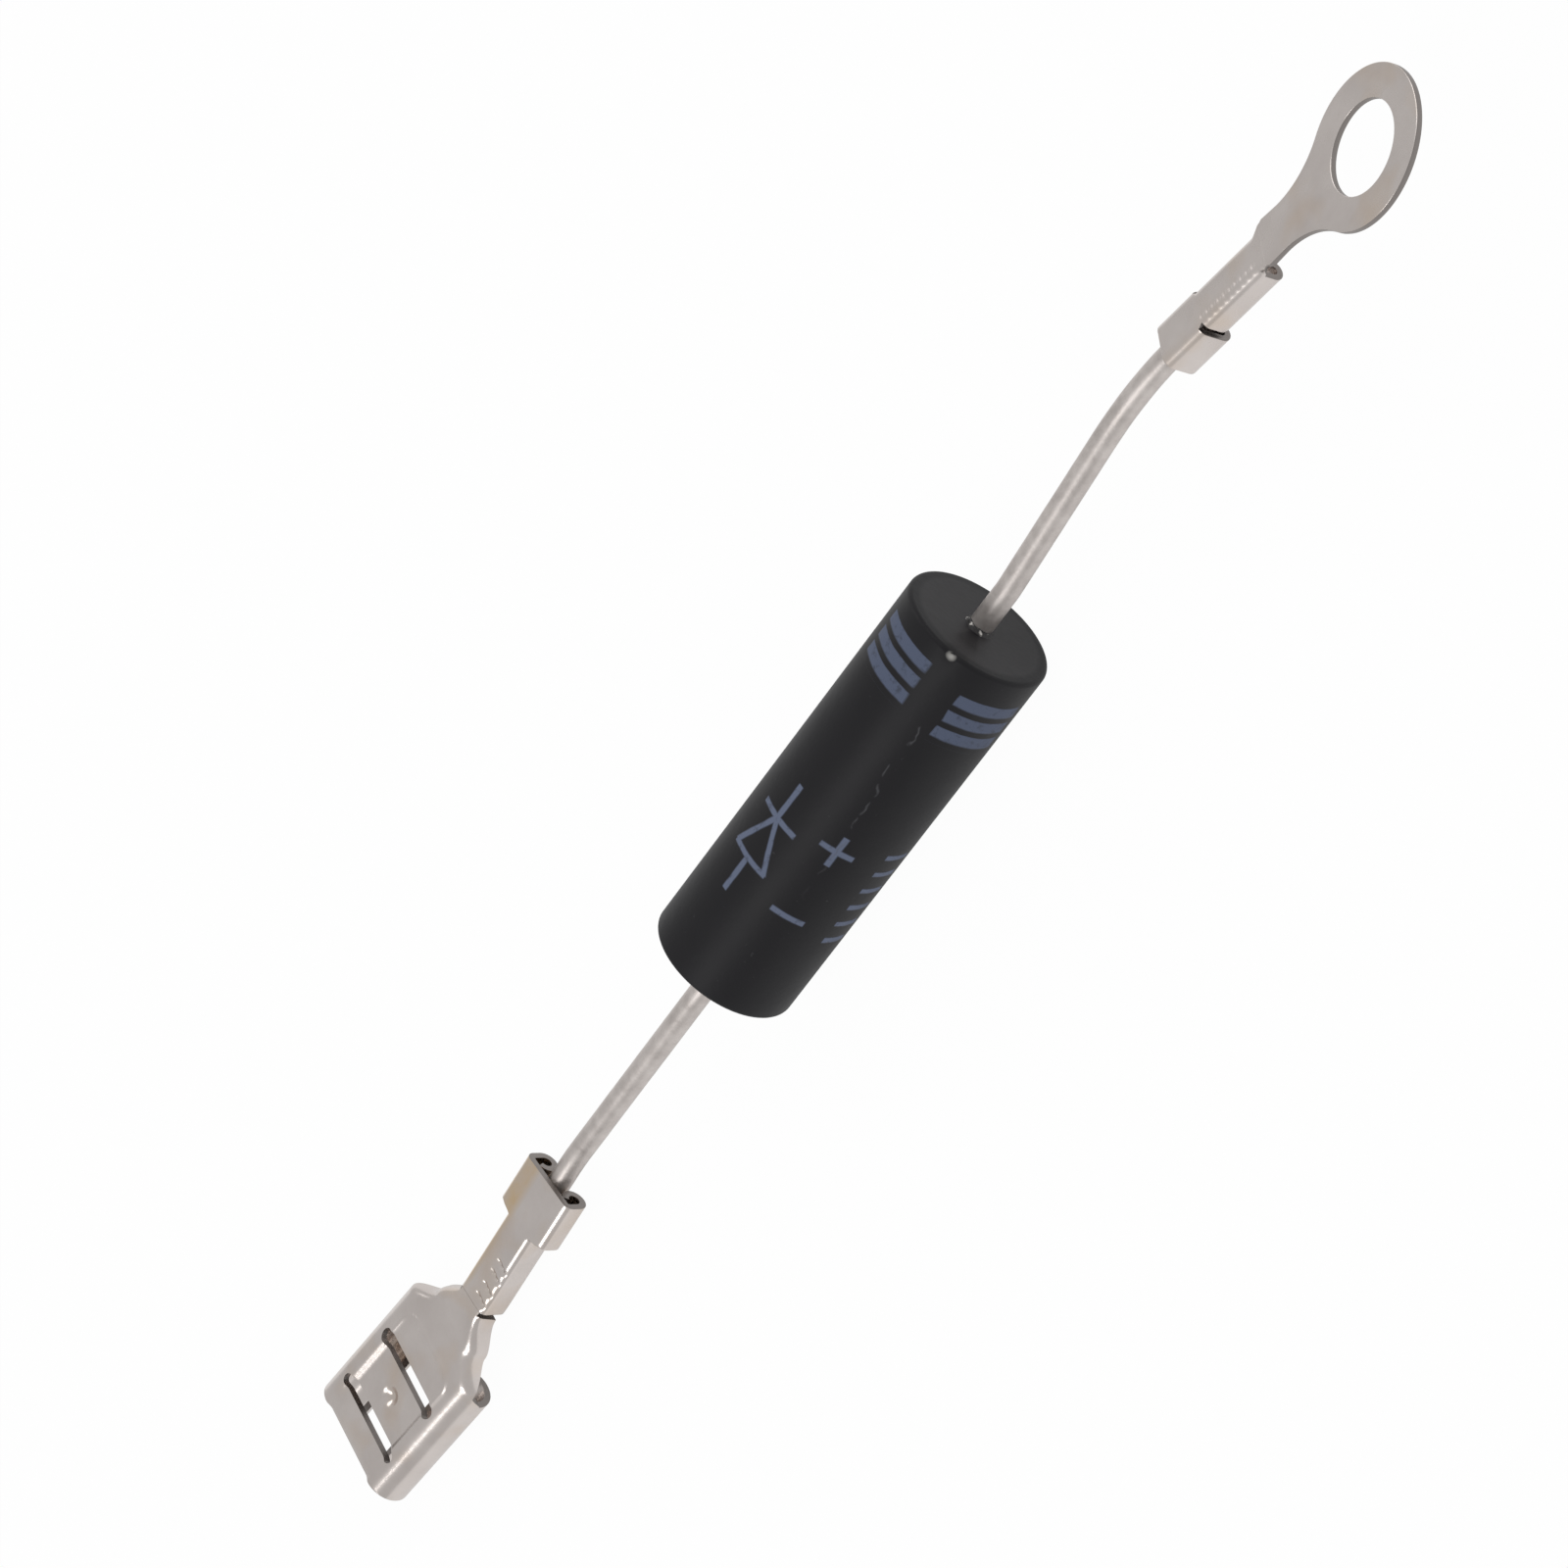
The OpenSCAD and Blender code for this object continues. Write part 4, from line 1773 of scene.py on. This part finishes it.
    def _mouth(self, crimp: Section, funnel: Section) -> SheetStrip:
        """The front strip: neck, shoulders and box.

        Args:
            crimp: The wire crimp's section.
            funnel: The section just past it.

        Returns:
            The strip.
        """
        r, down = self.roll_d / 2, 88.0
        box = Section(
            floor=self.box_w / 2 - r,
            fold_r=r,
            fold=down,
            leg=0.05,
            curl_r=r,
            curl=self.roll_sweep - down,
        )
        wall = replace(box, fold=56.0, curl=60.0)
        waist = replace(funnel, floor=0.55 * box.floor, fold_r=0.8, fold=80.0, leg=0.45)
        keys = [
            (self.taper_x - self.slit, crimp),
            (self.taper_x + self.slit, funnel),
            (self.taper_x + 0.48 * self.taper_len, waist),
            (self.box_x - 0.5, wall),
            *((x, box) for x in (self.box_x, *self.window_x, self.length)),
        ]

        limits = (self.NECK_COLUMNS, self.WALL_COLUMNS)

        def kept(x: float, column: float) -> bool:
            """The neck, the shoulders up to their walls and the whole box."""
            past_neck = x > self.taper_x + self.slit
            return x > self.box_x or abs(column) < limits[past_neck]

        stations = stations_of(keys, self.SPACING)
        return SheetStrip(self.thickness, stations, kept, self.press, self.spine, self.CUTS)

    def build(self) -> bpy.types.Object:
        """Makes the receptacle as one piece.

        Returns:
            The piece.
        """
        fold_r, curl_r = 0.4, 0.55
        crimp = Section(
            floor=self.crimp_w / 2 - fold_r,
            fold_r=fold_r,
            fold=90.0,
            leg=self.crimp_h - self.lowered - fold_r - curl_r,
            curl_r=curl_r,
            curl=195.0,
        )
        funnel = replace(crimp, fold=82.0, leg=0.8, curl_r=0.5, curl=60.0)
        place = self.place.matrix()
        cutter = self._window_cutter(place)

        def cut_windows(obj: bpy.types.Object) -> None:
            """Cuts the windows and rounds the edges.

            The thickened sheet passes through itself at the shoulders, so the cut allows it.

            Args:
                obj: The object that carries the thickened mouth.
            """
            cut = obj.modifiers.new("windows", "BOOLEAN")
            cut.object = cutter
            cut.operation = "DIFFERENCE"
            cut.solver = "EXACT"
            cut.use_self = True
            round_edges(obj, self.WINDOW_EDGE)

        parts = [
            self._grip(crimp, funnel).mesh("receptacle_grip", place, round_edges),
            self._mouth(crimp, funnel).mesh("receptacle_mouth", place, cut_windows),
        ]
        bpy.data.objects.remove(cutter)
        name = "quick_connect_receptacle"
        mesh = joined(name, parts)
        return add_piece(name, mesh, self.finish, Slot.SHEET, "receptacle_terminal")

    def _window_cutter(self, place: Matrix) -> bpy.types.Object:
        """A block for each window, with rounded ends, that passes through the floor.

        Args:
            place: From the terminal's frame in millimetres to the row frame in metres.

        Returns:
            The cutting object, whose faces are noted as sheared edges.
        """
        half = self.half_floor + self.overreach
        count, arc = self.WINDOW_POINTS, self.WINDOW_POINTS // 2
        points: list[Vector] = []
        faces: list[tuple[int, ...]] = []
        for start, end in (self.window_x[:2], self.window_x[2:]):
            r, first = (end - start) / 2, len(points)
            outline = []
            for k in range(count):
                side = 1 if k < arc else -1
                a = math.radians(180 * (k % arc) / (arc - 1)) + (0.0 if side > 0 else math.pi)
                outline.append((start + r + r * math.cos(a), side * (half - r) + r * math.sin(a)))
            for z in self.WINDOW_DEPTH:
                for x, y in outline:
                    px, py, heading = self.spine(x)
                    at = Vector((px - y * math.sin(heading), py + y * math.cos(heading), z))
                    points.append(place @ at)
            faces.append(tuple(first + k for k in reversed(range(count))))
            faces.append(tuple(first + k for k in range(count, 2 * count)))
            for k in range(count):
                a, b = first + k, first + (k + 1) % count
                faces.append((a, b, b + count, a + count))
        shape = mesh_from("window_cutter", points, faces)
        for _ in range(2):
            shape.materials.append(None)
        for face in shape.polygons:
            face.material_index = 1
        return in_scene(bpy.data.objects.new("window_cutter", shape))


@dataclass
class RingTerminal:
    """The ring terminal: flat ring and neck, wire crimp and strain relief.

    Attributes:
        place: Where it sits.
        finish: Its material.
        length: From the relief's rear edge to the ring's centre.
        fillet_r: The radius between the neck and the ring.
        gap: The slit between the relief and the wire crimp.
        wing_gap: How far the crimp's wings stop short of the neck.
        lowered: How far the wings of both stay below their nominal height.
        tooth_pitch: The pitch of the crimp's fine serrations.
        tooth_depth: Their depth.
        neck_step: How much narrower than the neck its root is.
        edge: The rounding of the plate's edges.
    """

    place: TerminalFrame
    finish: bpy.types.Material
    thickness: float = 0.3
    length: float = 14.9
    ring_d: float = 7.4
    hole_d: float = 4.3
    neck_w: float = 2.4
    fillet_r: float = 4.5
    relief_len: float = 2.6
    relief_w: float = 2.4
    relief_h: float = 2.3
    relief_curl: float = 1.0
    gap: float = 0.3
    crimp_len: float = 4.3
    crimp_w: float = 2.1
    crimp_h: float = 2.0
    wing_gap: float = 0.25
    lowered: float = 0.45
    tooth_pitch: float = 0.42
    tooth_depth: float = 0.05
    neck_step: float = 0.12
    edge: float = 0.04

    CUTS = Cuts(floor=16, fold=12, leg=4, curl=16)
    SPACING = 0.07
    HOLE_POINTS = 96
    RIM_POINTS = 60
    FILLET_POINTS = 20

    @property
    def crimp_x(self) -> float:
        """Where the wire crimp starts."""
        return self.relief_len + self.gap

    @property
    def neck_x(self) -> float:
        """Where the neck starts."""
        return self.crimp_x + self.crimp_len

    @staticmethod
    def spine(x: float) -> tuple[float, float, float]:
        """A straight middle line."""
        return x, 0.0, 0.0

    def press(self, x: float, y: float) -> float:
        """Fine serrations along one fold of the wire crimp.

        Args:
            x: The place along the terminal.
            y: The place across it.

        Returns:
            The height.
        """
        if x > self.neck_x - 0.1 or x < self.crimp_x:
            return -0.012 * smooth((x - self.neck_x - 0.1) / 0.2)
        side = smooth((-y / self.crimp_w - 0.12) * 6)
        wave = 0.5 + 0.5 * math.sin(x * 2 * math.pi / self.tooth_pitch)
        return -self.tooth_depth * side * wave

    def _outline(self) -> list[Flat]:
        """The outline of the neck and the ring, once round.

        Returns:
            The points in the terminal's frame.
        """
        r, fillet, neck = self.ring_d / 2, self.fillet_r, self.neck_w / 2
        cy = neck + fillet
        span = math.sqrt((r + fillet) ** 2 - cy**2)
        cx, end = self.length - span, math.atan2(cy, span)
        flank = [(self.neck_x + 0.4, neck - self.neck_step), (self.neck_x + 0.7, neck + 0.05)]
        for a in np.linspace(-math.pi / 2, -end, self.FILLET_POINTS):
            flank.append((cx + fillet * math.cos(a), cy + fillet * math.sin(a)))
        for a in np.linspace(math.pi - end, 0.0, self.RIM_POINTS)[1:]:
            flank.append((self.length + r * math.cos(a), r * math.sin(a)))
        return flank + [(x, -y) for x, y in reversed(flank[:-1])]

    def plate(self, place: Matrix) -> bpy.types.Mesh:
        """The neck and the ring, cut from flat sheet with softened edges.

        Args:
            place: From the terminal's frame in millimetres to the row frame in metres.

        Returns:
            The mesh.
        """
        bore = self.hole_d / 2
        round_it = np.linspace(0, 2 * math.pi, self.HOLE_POINTS, endpoint=False)
        hole = [(self.length + bore * math.cos(a), bore * math.sin(a)) for a in round_it]
        curve = bpy.data.curves.new("ring_plate", "CURVE")
        curve.dimensions = "2D"
        curve.fill_mode = "BOTH"
        curve.extrude = (self.thickness / 2 - self.edge) * MM
        curve.bevel_depth = self.edge * MM
        curve.bevel_resolution = 2
        curve.offset = -self.edge * MM
        for loop in (self._outline(), hole):
            line = curve.splines.new("POLY")
            line.points.add(len(loop) - 1)
            for point, (x, y) in zip(line.points, loop):
                point.co = (x * MM, y * MM, 0.0, 1.0)
            line.use_cyclic_u = True
        mesh = evaluated(in_scene(bpy.data.objects.new("ring_plate", curve)))
        sink = Matrix.Translation((0, 0, -self.thickness / 2))
        mesh.transform(place @ sink @ Matrix.Scale(1 / MM, 4))
        up = self.place.axes[2]
        mark_cut(mesh, lambda face: abs(face.normal.dot(up)) < 0.5)
        return mesh

    def _strip(self) -> SheetStrip:
        """The folded strip: strain relief, wire crimp and the root of the neck.

        Returns:
            The strip.
        """
        fold_r, crimp_r, curl_r = 0.5, 0.52, self.relief_curl / 2
        crimp = Section(
            floor=self.crimp_w / 2 - fold_r,
            fold_r=fold_r,
            fold=90.0,
            leg=self.crimp_h - self.lowered - fold_r - crimp_r,
            curl_r=crimp_r,
            curl=195.0,
        )
        relief = Section(
            floor=self.relief_w / 2 - fold_r,
            fold_r=fold_r,
            fold=90.0,
            leg=self.relief_h - self.lowered - fold_r - curl_r,
            curl_r=curl_r,
            curl=250.0,
        )
        flat_end = Section(
            floor=self.neck_w / 2 - self.neck_step,
            fold_r=0.35,
            fold=12.0,
            leg=0.02,
            curl_r=0.3,
            curl=60.0,
        )
        wing_end = self.neck_x - self.wing_gap
        keys = [
            (0.0, relief),
            (self.relief_len, relief),
            (self.crimp_x, crimp),
            (wing_end, crimp),
            (self.neck_x + 0.6, flat_end),
        ]

        limits = (self.CUTS.floor + 4, self.CUTS.floor + self.CUTS.fold)

        def kept(x: float, column: float) -> bool:
            """The whole relief and crimp, and a narrower floor between and after them."""
            whole = x < self.relief_len or self.crimp_x < x < wing_end
            return whole or abs(column) < limits[x > self.crimp_x]

        stations = stations_of(keys, self.SPACING)
        return SheetStrip(self.thickness, stations, kept, self.press, self.spine, self.CUTS)

    def build(self) -> bpy.types.Object:
        """Makes the ring terminal as one piece.

        Returns:
            The piece.
        """
        place = self.place.matrix()
        parts = [self.plate(place), self._strip().mesh("ring_strip", place, round_edges)]
        name = "stamped_ring_terminal"
        return add_piece(name, joined(name, parts), self.finish, Slot.SHEET, "ring_terminal")


# ---- The whole diode ----


@dataclass
class Diode:
    """The whole part: body, collars, leads, terminals and the hidden stack.

    Attributes:
        rooted: How far a lead reaches into the body.
        straight: How far a lead leaves the body before its first bend.
        play: The clearance between a lead and its crimp.
        cathode_root_r: The radius of the cathode lead's bend at the body.
        cathode_sweep: The reach of its bend at the ring terminal.
        anode_r: The radius of the anode lead's bends.
        anode_tail: The anode lead's straight run before the receptacle.
        ring_crimped: How far the cathode lead reaches into its terminal.
        tab_crimped: How far the anode lead reaches into its terminal.
        ring_centre: The ring's centre, from the cathode end of the body's axis.
        tab_mouth: The receptacle's mouth: its reach past the anode end, and its side.
    """

    body_d: float = 7.5
    body_len: float = 22.2
    lead_d: float = 1.2
    rooted: float = 0.5
    straight: float = 2.4
    play: float = 0.02
    cathode_root_r: float = 4.0
    cathode_sweep: float = 3.0
    anode_r: float = 6.0
    anode_tail: float = 1.5
    ring_crimped: float = 6.7
    tab_crimped: float = 7.7
    ring_centre: tuple[float, float, float] = (30.8, -2.7, 3.0)
    ring_yaw: float = -14.0
    ring_pitch: float = 8.0
    ring_roll: float = -16.5
    tab_mouth: Flat = (37.1, 1.35)
    tab_yaw: float = -3.6

    @property
    def half_length(self) -> float:
        """Half the body's length."""
        return self.body_len / 2

    @property
    def axis_z(self) -> float:
        """The height of the body's axis."""
        return self.body_d / 2

    @property
    def lead_r(self) -> float:
        """The leads' radius."""
        return self.lead_d / 2

    def makers(self) -> Iterator[Maker]:
        """The sub-assemblies in the order in which they are made.

        Yields:
            Each sub-assembly, ready to build.
        """
        yield MouldedBody(EpoxyFinish(self.body_d / 2, self.axis_z, self.half_length))
        for end, seed in ((End.CATHODE, 4), (End.ANODE, 9)):
            yield Meniscus(end, self.axis_z, self.half_length, self.lead_r, seed)
        strip = TinFinish(
            "plated_strip",
            bright=(0.72, 0.665, 0.635, 1.0),
            dull=(0.62, 0.565, 0.535, 1.0),
            roughness=0.27,
            clouds=Grain(300.0, 4.0, 0.6, 0.3, 2.2),
            grain=Grain(2400.0, 3.0, 0.6),
            relief=0.004,
            warmth=0.3,
            cut_shade=0.45,
        )
        # The receptacle's plating, with a painted warm reflection on one side.
        warm_reflecting = replace(strip, name="plated_receptacle", roughness=0.23, warm_reflection=WarmReflection())
        ring, tab = self.ring_frame(), self.tab_frame()
        yield RingTerminal(ring, strip.material())
        yield Receptacle(tab, warm_reflecting.material())
        tinned = TinFinish(
            "tinned_copper",
            bright=(0.74, 0.69, 0.66, 1.0),
            dull=(0.54, 0.495, 0.47, 1.0),
            roughness=0.46,
            clouds=Grain(1100.0, 4.0, 0.6, 0.3, 2.2),
            grain=Grain(3200.0, 3.0, 0.6),
            relief=0.012,
        ).material()
        nodes = SweepNodes()
        for end, path, seed in (
            (End.CATHODE, self.cathode_path(ring), 1.0),
            (End.ANODE, self.anode_path(tab), 7.0),
        ):
            yield FormedLead(end, path, self.lead_r, seed, nodes, tinned)

    def on_axis(self, end: End, reach: float) -> Vector:
        """The point of the body's axis at a reach past one of its ends."""
        return Vector((end.value * (self.half_length + reach), 0, self.axis_z))

    def cathode_path(self, ring: TerminalFrame) -> list[Bend]:
        """The cathode lead's path, which sweeps into the ring terminal.

        Args:
            ring: Where the ring terminal sits.

        Returns:
            The path's corners.
        """
        first = self.on_axis(End.CATHODE, self.straight)
        last = ring.entry - ring.along * self.cathode_sweep
        turn = (last - first).angle(ring.along)
        return [
            Bend(self.on_axis(End.CATHODE, -self.rooted)),
            Bend(first, self.cathode_root_r),
            Bend(last, self.cathode_sweep / math.tan(turn / 2)),
            Bend(ring.entry + ring.along * self.ring_crimped),
        ]

    def anode_path(self, tab: TerminalFrame) -> list[Bend]:
        """The anode lead's path, which runs straight down to the receptacle.

        Args:
            tab: Where the receptacle sits.

        Returns:
            The path's corners.
        """
        return [
            Bend(self.on_axis(End.ANODE, -self.rooted)),
            Bend(self.on_axis(End.ANODE, self.straight), self.anode_r),
            Bend(tab.entry - tab.along * self.anode_tail, self.anode_r),
            Bend(tab.entry + tab.along * self.tab_crimped),
        ]

    def ring_frame(self) -> TerminalFrame:
        """The ring terminal's place, from its ring's centre.

        Returns:
            The place.
        """
        axes = turned(self.ring_yaw, self.ring_pitch, self.ring_roll)
        drop = RingTerminal.thickness + self.play + self.lead_r
        centre = self.on_axis(End.CATHODE, 0.0) + Vector(self.ring_centre)
        entry = centre - axes[0] * RingTerminal.length - axes[2] * drop
        return TerminalFrame(entry, axes, drop)

    def tab_frame(self) -> TerminalFrame:
        """The receptacle's place, from its mouth.

        Returns:
            The place.
        """
        backwards = 180.0 + self.tab_yaw
        box = turned(backwards)[0]
        axes = turned(backwards + Receptacle.neck_turn)
        drop = Receptacle.thickness + self.play + self.lead_r
        reach, aside = self.tab_mouth
        mouth = Vector((-self.half_length - reach, aside, Receptacle.roll_d - drop))
        boxed = Receptacle.box_len + Receptacle.taper_len
        entry = mouth - box * boxed - axes[0] * (Receptacle.length - boxed)
        return TerminalFrame(entry, axes, drop)

    @staticmethod
    def paint_hidden() -> None:
        """Gives the junction stack inside the body its finishes."""
        finishes = {
            "junction_coating": HiddenFinish(
                "junction_varnish", (0.80, 0.76, 0.64, 1.0), roughness=0.25, metallic=0.0
            ),
            "die": HiddenFinish(
                "lapped_silicon", (0.12, 0.12, 0.14, 1.0), roughness=0.3, metallic=0.6
            ),
            "solder": HiddenFinish(
                "reflowed_solder", (0.50, 0.50, 0.52, 1.0), roughness=0.45, metallic=1.0
            ),
        }
        materials = {name: finish.material() for name, finish in finishes.items()}
        for name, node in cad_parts.items():
            material = materials.get(name) or materials.get(name.rsplit("_", 1)[0])
            if material:
                node.data.materials.clear()
                node.data.materials.append(material)
                log.info("%s: painted", name)


# ---- Studio ----


@dataclass(frozen=True)
class SoftBox:
    """A square soft light that faces the part, with its place and size in metres."""

    name: str
    place: tuple[float, float, float]
    size: float
    power: float

    def build(self, target: Vector) -> None:
        """Makes the light.

        Args:
            target: What it faces, in metres.
        """
        light = bpy.data.lights.new(self.name, "AREA")
        light.shape = "SQUARE"
        light.size = self.size
        light.energy = self.power
        lamp = bpy.data.objects.new(self.name, light)
        lamp.location = self.place
        lamp.rotation_mode = "QUATERNION"
        lamp.rotation_quaternion = (target - Vector(self.place)).to_track_quat("-Z", "Y")
        in_scene(lamp)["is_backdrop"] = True


@dataclass
class Studio:
    """A pale floor, soft lights and the camera.

    Attributes:
        boxes: The lights.
        surround: The strength of the pale surround.
        floor_half: Half the floor's side, in metres.
        floor_gap: How far the floor lies below the part.
        lit: The height that the lights face.
        lens: The camera's focal length.
        sensor: The width of its sensor.
        distance: From the camera to what it aims at.
        azimuth: The camera's place round the part.
        elevation: Its place above it.
        tilt: How far it is rolled.
        aim: The height of the body's middle, which it nearly aims at.
        aside: How far it aims to the left of that.
        above: How far it aims above it.
        sight: The nearest and farthest that it sees, in metres.
    """

    boxes: tuple[SoftBox, ...] = (
        SoftBox("key", (-0.29, -0.21, 0.48), 0.20, 0.55),
        SoftBox("far", (0.10, 0.46, 0.34), 0.26, 0.35),
        SoftBox("fill", (0.42, 0.10, 0.36), 0.22, 0.25),
    )
    surround: float = 0.60
    floor_half: float = 3.0
    floor_gap: float = 0.2
    lit: float = 3.0
    lens: float = 129.051
    sensor: float = 36.0
    distance: float = 260.0
    azimuth: float = -46.10263
    elevation: float = 45.53365
    tilt: float = -87.45025
    aim: float = 3.75
    aside: float = 3.02357
    above: float = 0.63463
    sight: Flat = (0.01, 20.0)

    def build(self) -> None:
        """Makes the floor, the world, the lights and the camera."""
        self._floor()
        self._world()
        for box in self.boxes:
            box.build(Vector((0, 0, self.lit * MM)))
        self._camera()

    def _floor(self) -> None:
        """A large floor under the part, white to the camera and soft to the light."""
        half = self.floor_half
        mesh = bpy.data.meshes.new("floor")
        corners = [(-half, -half, 0), (half, -half, 0), (half, half, 0), (-half, half, 0)]
        mesh.from_pydata(corners, [], [(0, 1, 2, 3)])
        mesh.materials.append(FloorFinish().material())
        floor = bpy.data.objects.new("floor", mesh)
        floor.location.z = -self.floor_gap * MM
        in_scene(floor)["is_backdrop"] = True

    def _world(self) -> None:
        """A pale, even surround."""
        world = bpy.data.worlds.new("surround")
        world.use_nodes = True
        bpy.context.scene.world = world
        background = world.node_tree.nodes["Background"]
        background.inputs["Color"].default_value = WHITE
        background.inputs["Strength"].default_value = self.surround

    def _camera(self) -> None:
        """A close view from above the ring end, rolled so that the diode climbs to the right."""
        data = bpy.data.cameras.new("camera")
        data.sensor_width = self.sensor
        data.lens = self.lens
        data.clip_start, data.clip_end = self.sight
        back, right, up = turned(self.azimuth, self.elevation, self.tilt)
        aim = Vector((0, 0, self.aim)) - right * self.aside + up * self.above
        rows = Matrix((right, up, back)).transposed().to_4x4()
        rows.translation = (aim + back * self.distance) * MM
        camera = in_scene(bpy.data.objects.new("camera", data))
        camera.matrix_world = rows
        bpy.context.scene.camera = camera


def corners() -> list[list[float]]:
    """The model's box as plain lists, in metres."""
    return [list(corner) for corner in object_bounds()]


def main() -> None:
    """Builds the classes in order and reports each piece."""
    logging.basicConfig(level=logging.INFO, format="%(name)s: %(message)s")
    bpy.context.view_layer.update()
    bpy.context.scene.view_settings.view_transform = "Standard"
    diode = Diode()
    for maker in diode.makers():
        piece = maker.build()
        log.info("%s: %d faces", piece.name, len(piece.data.polygons))
    diode.paint_hidden()
    Studio().build()


if __name__ == "__main__":
    main()
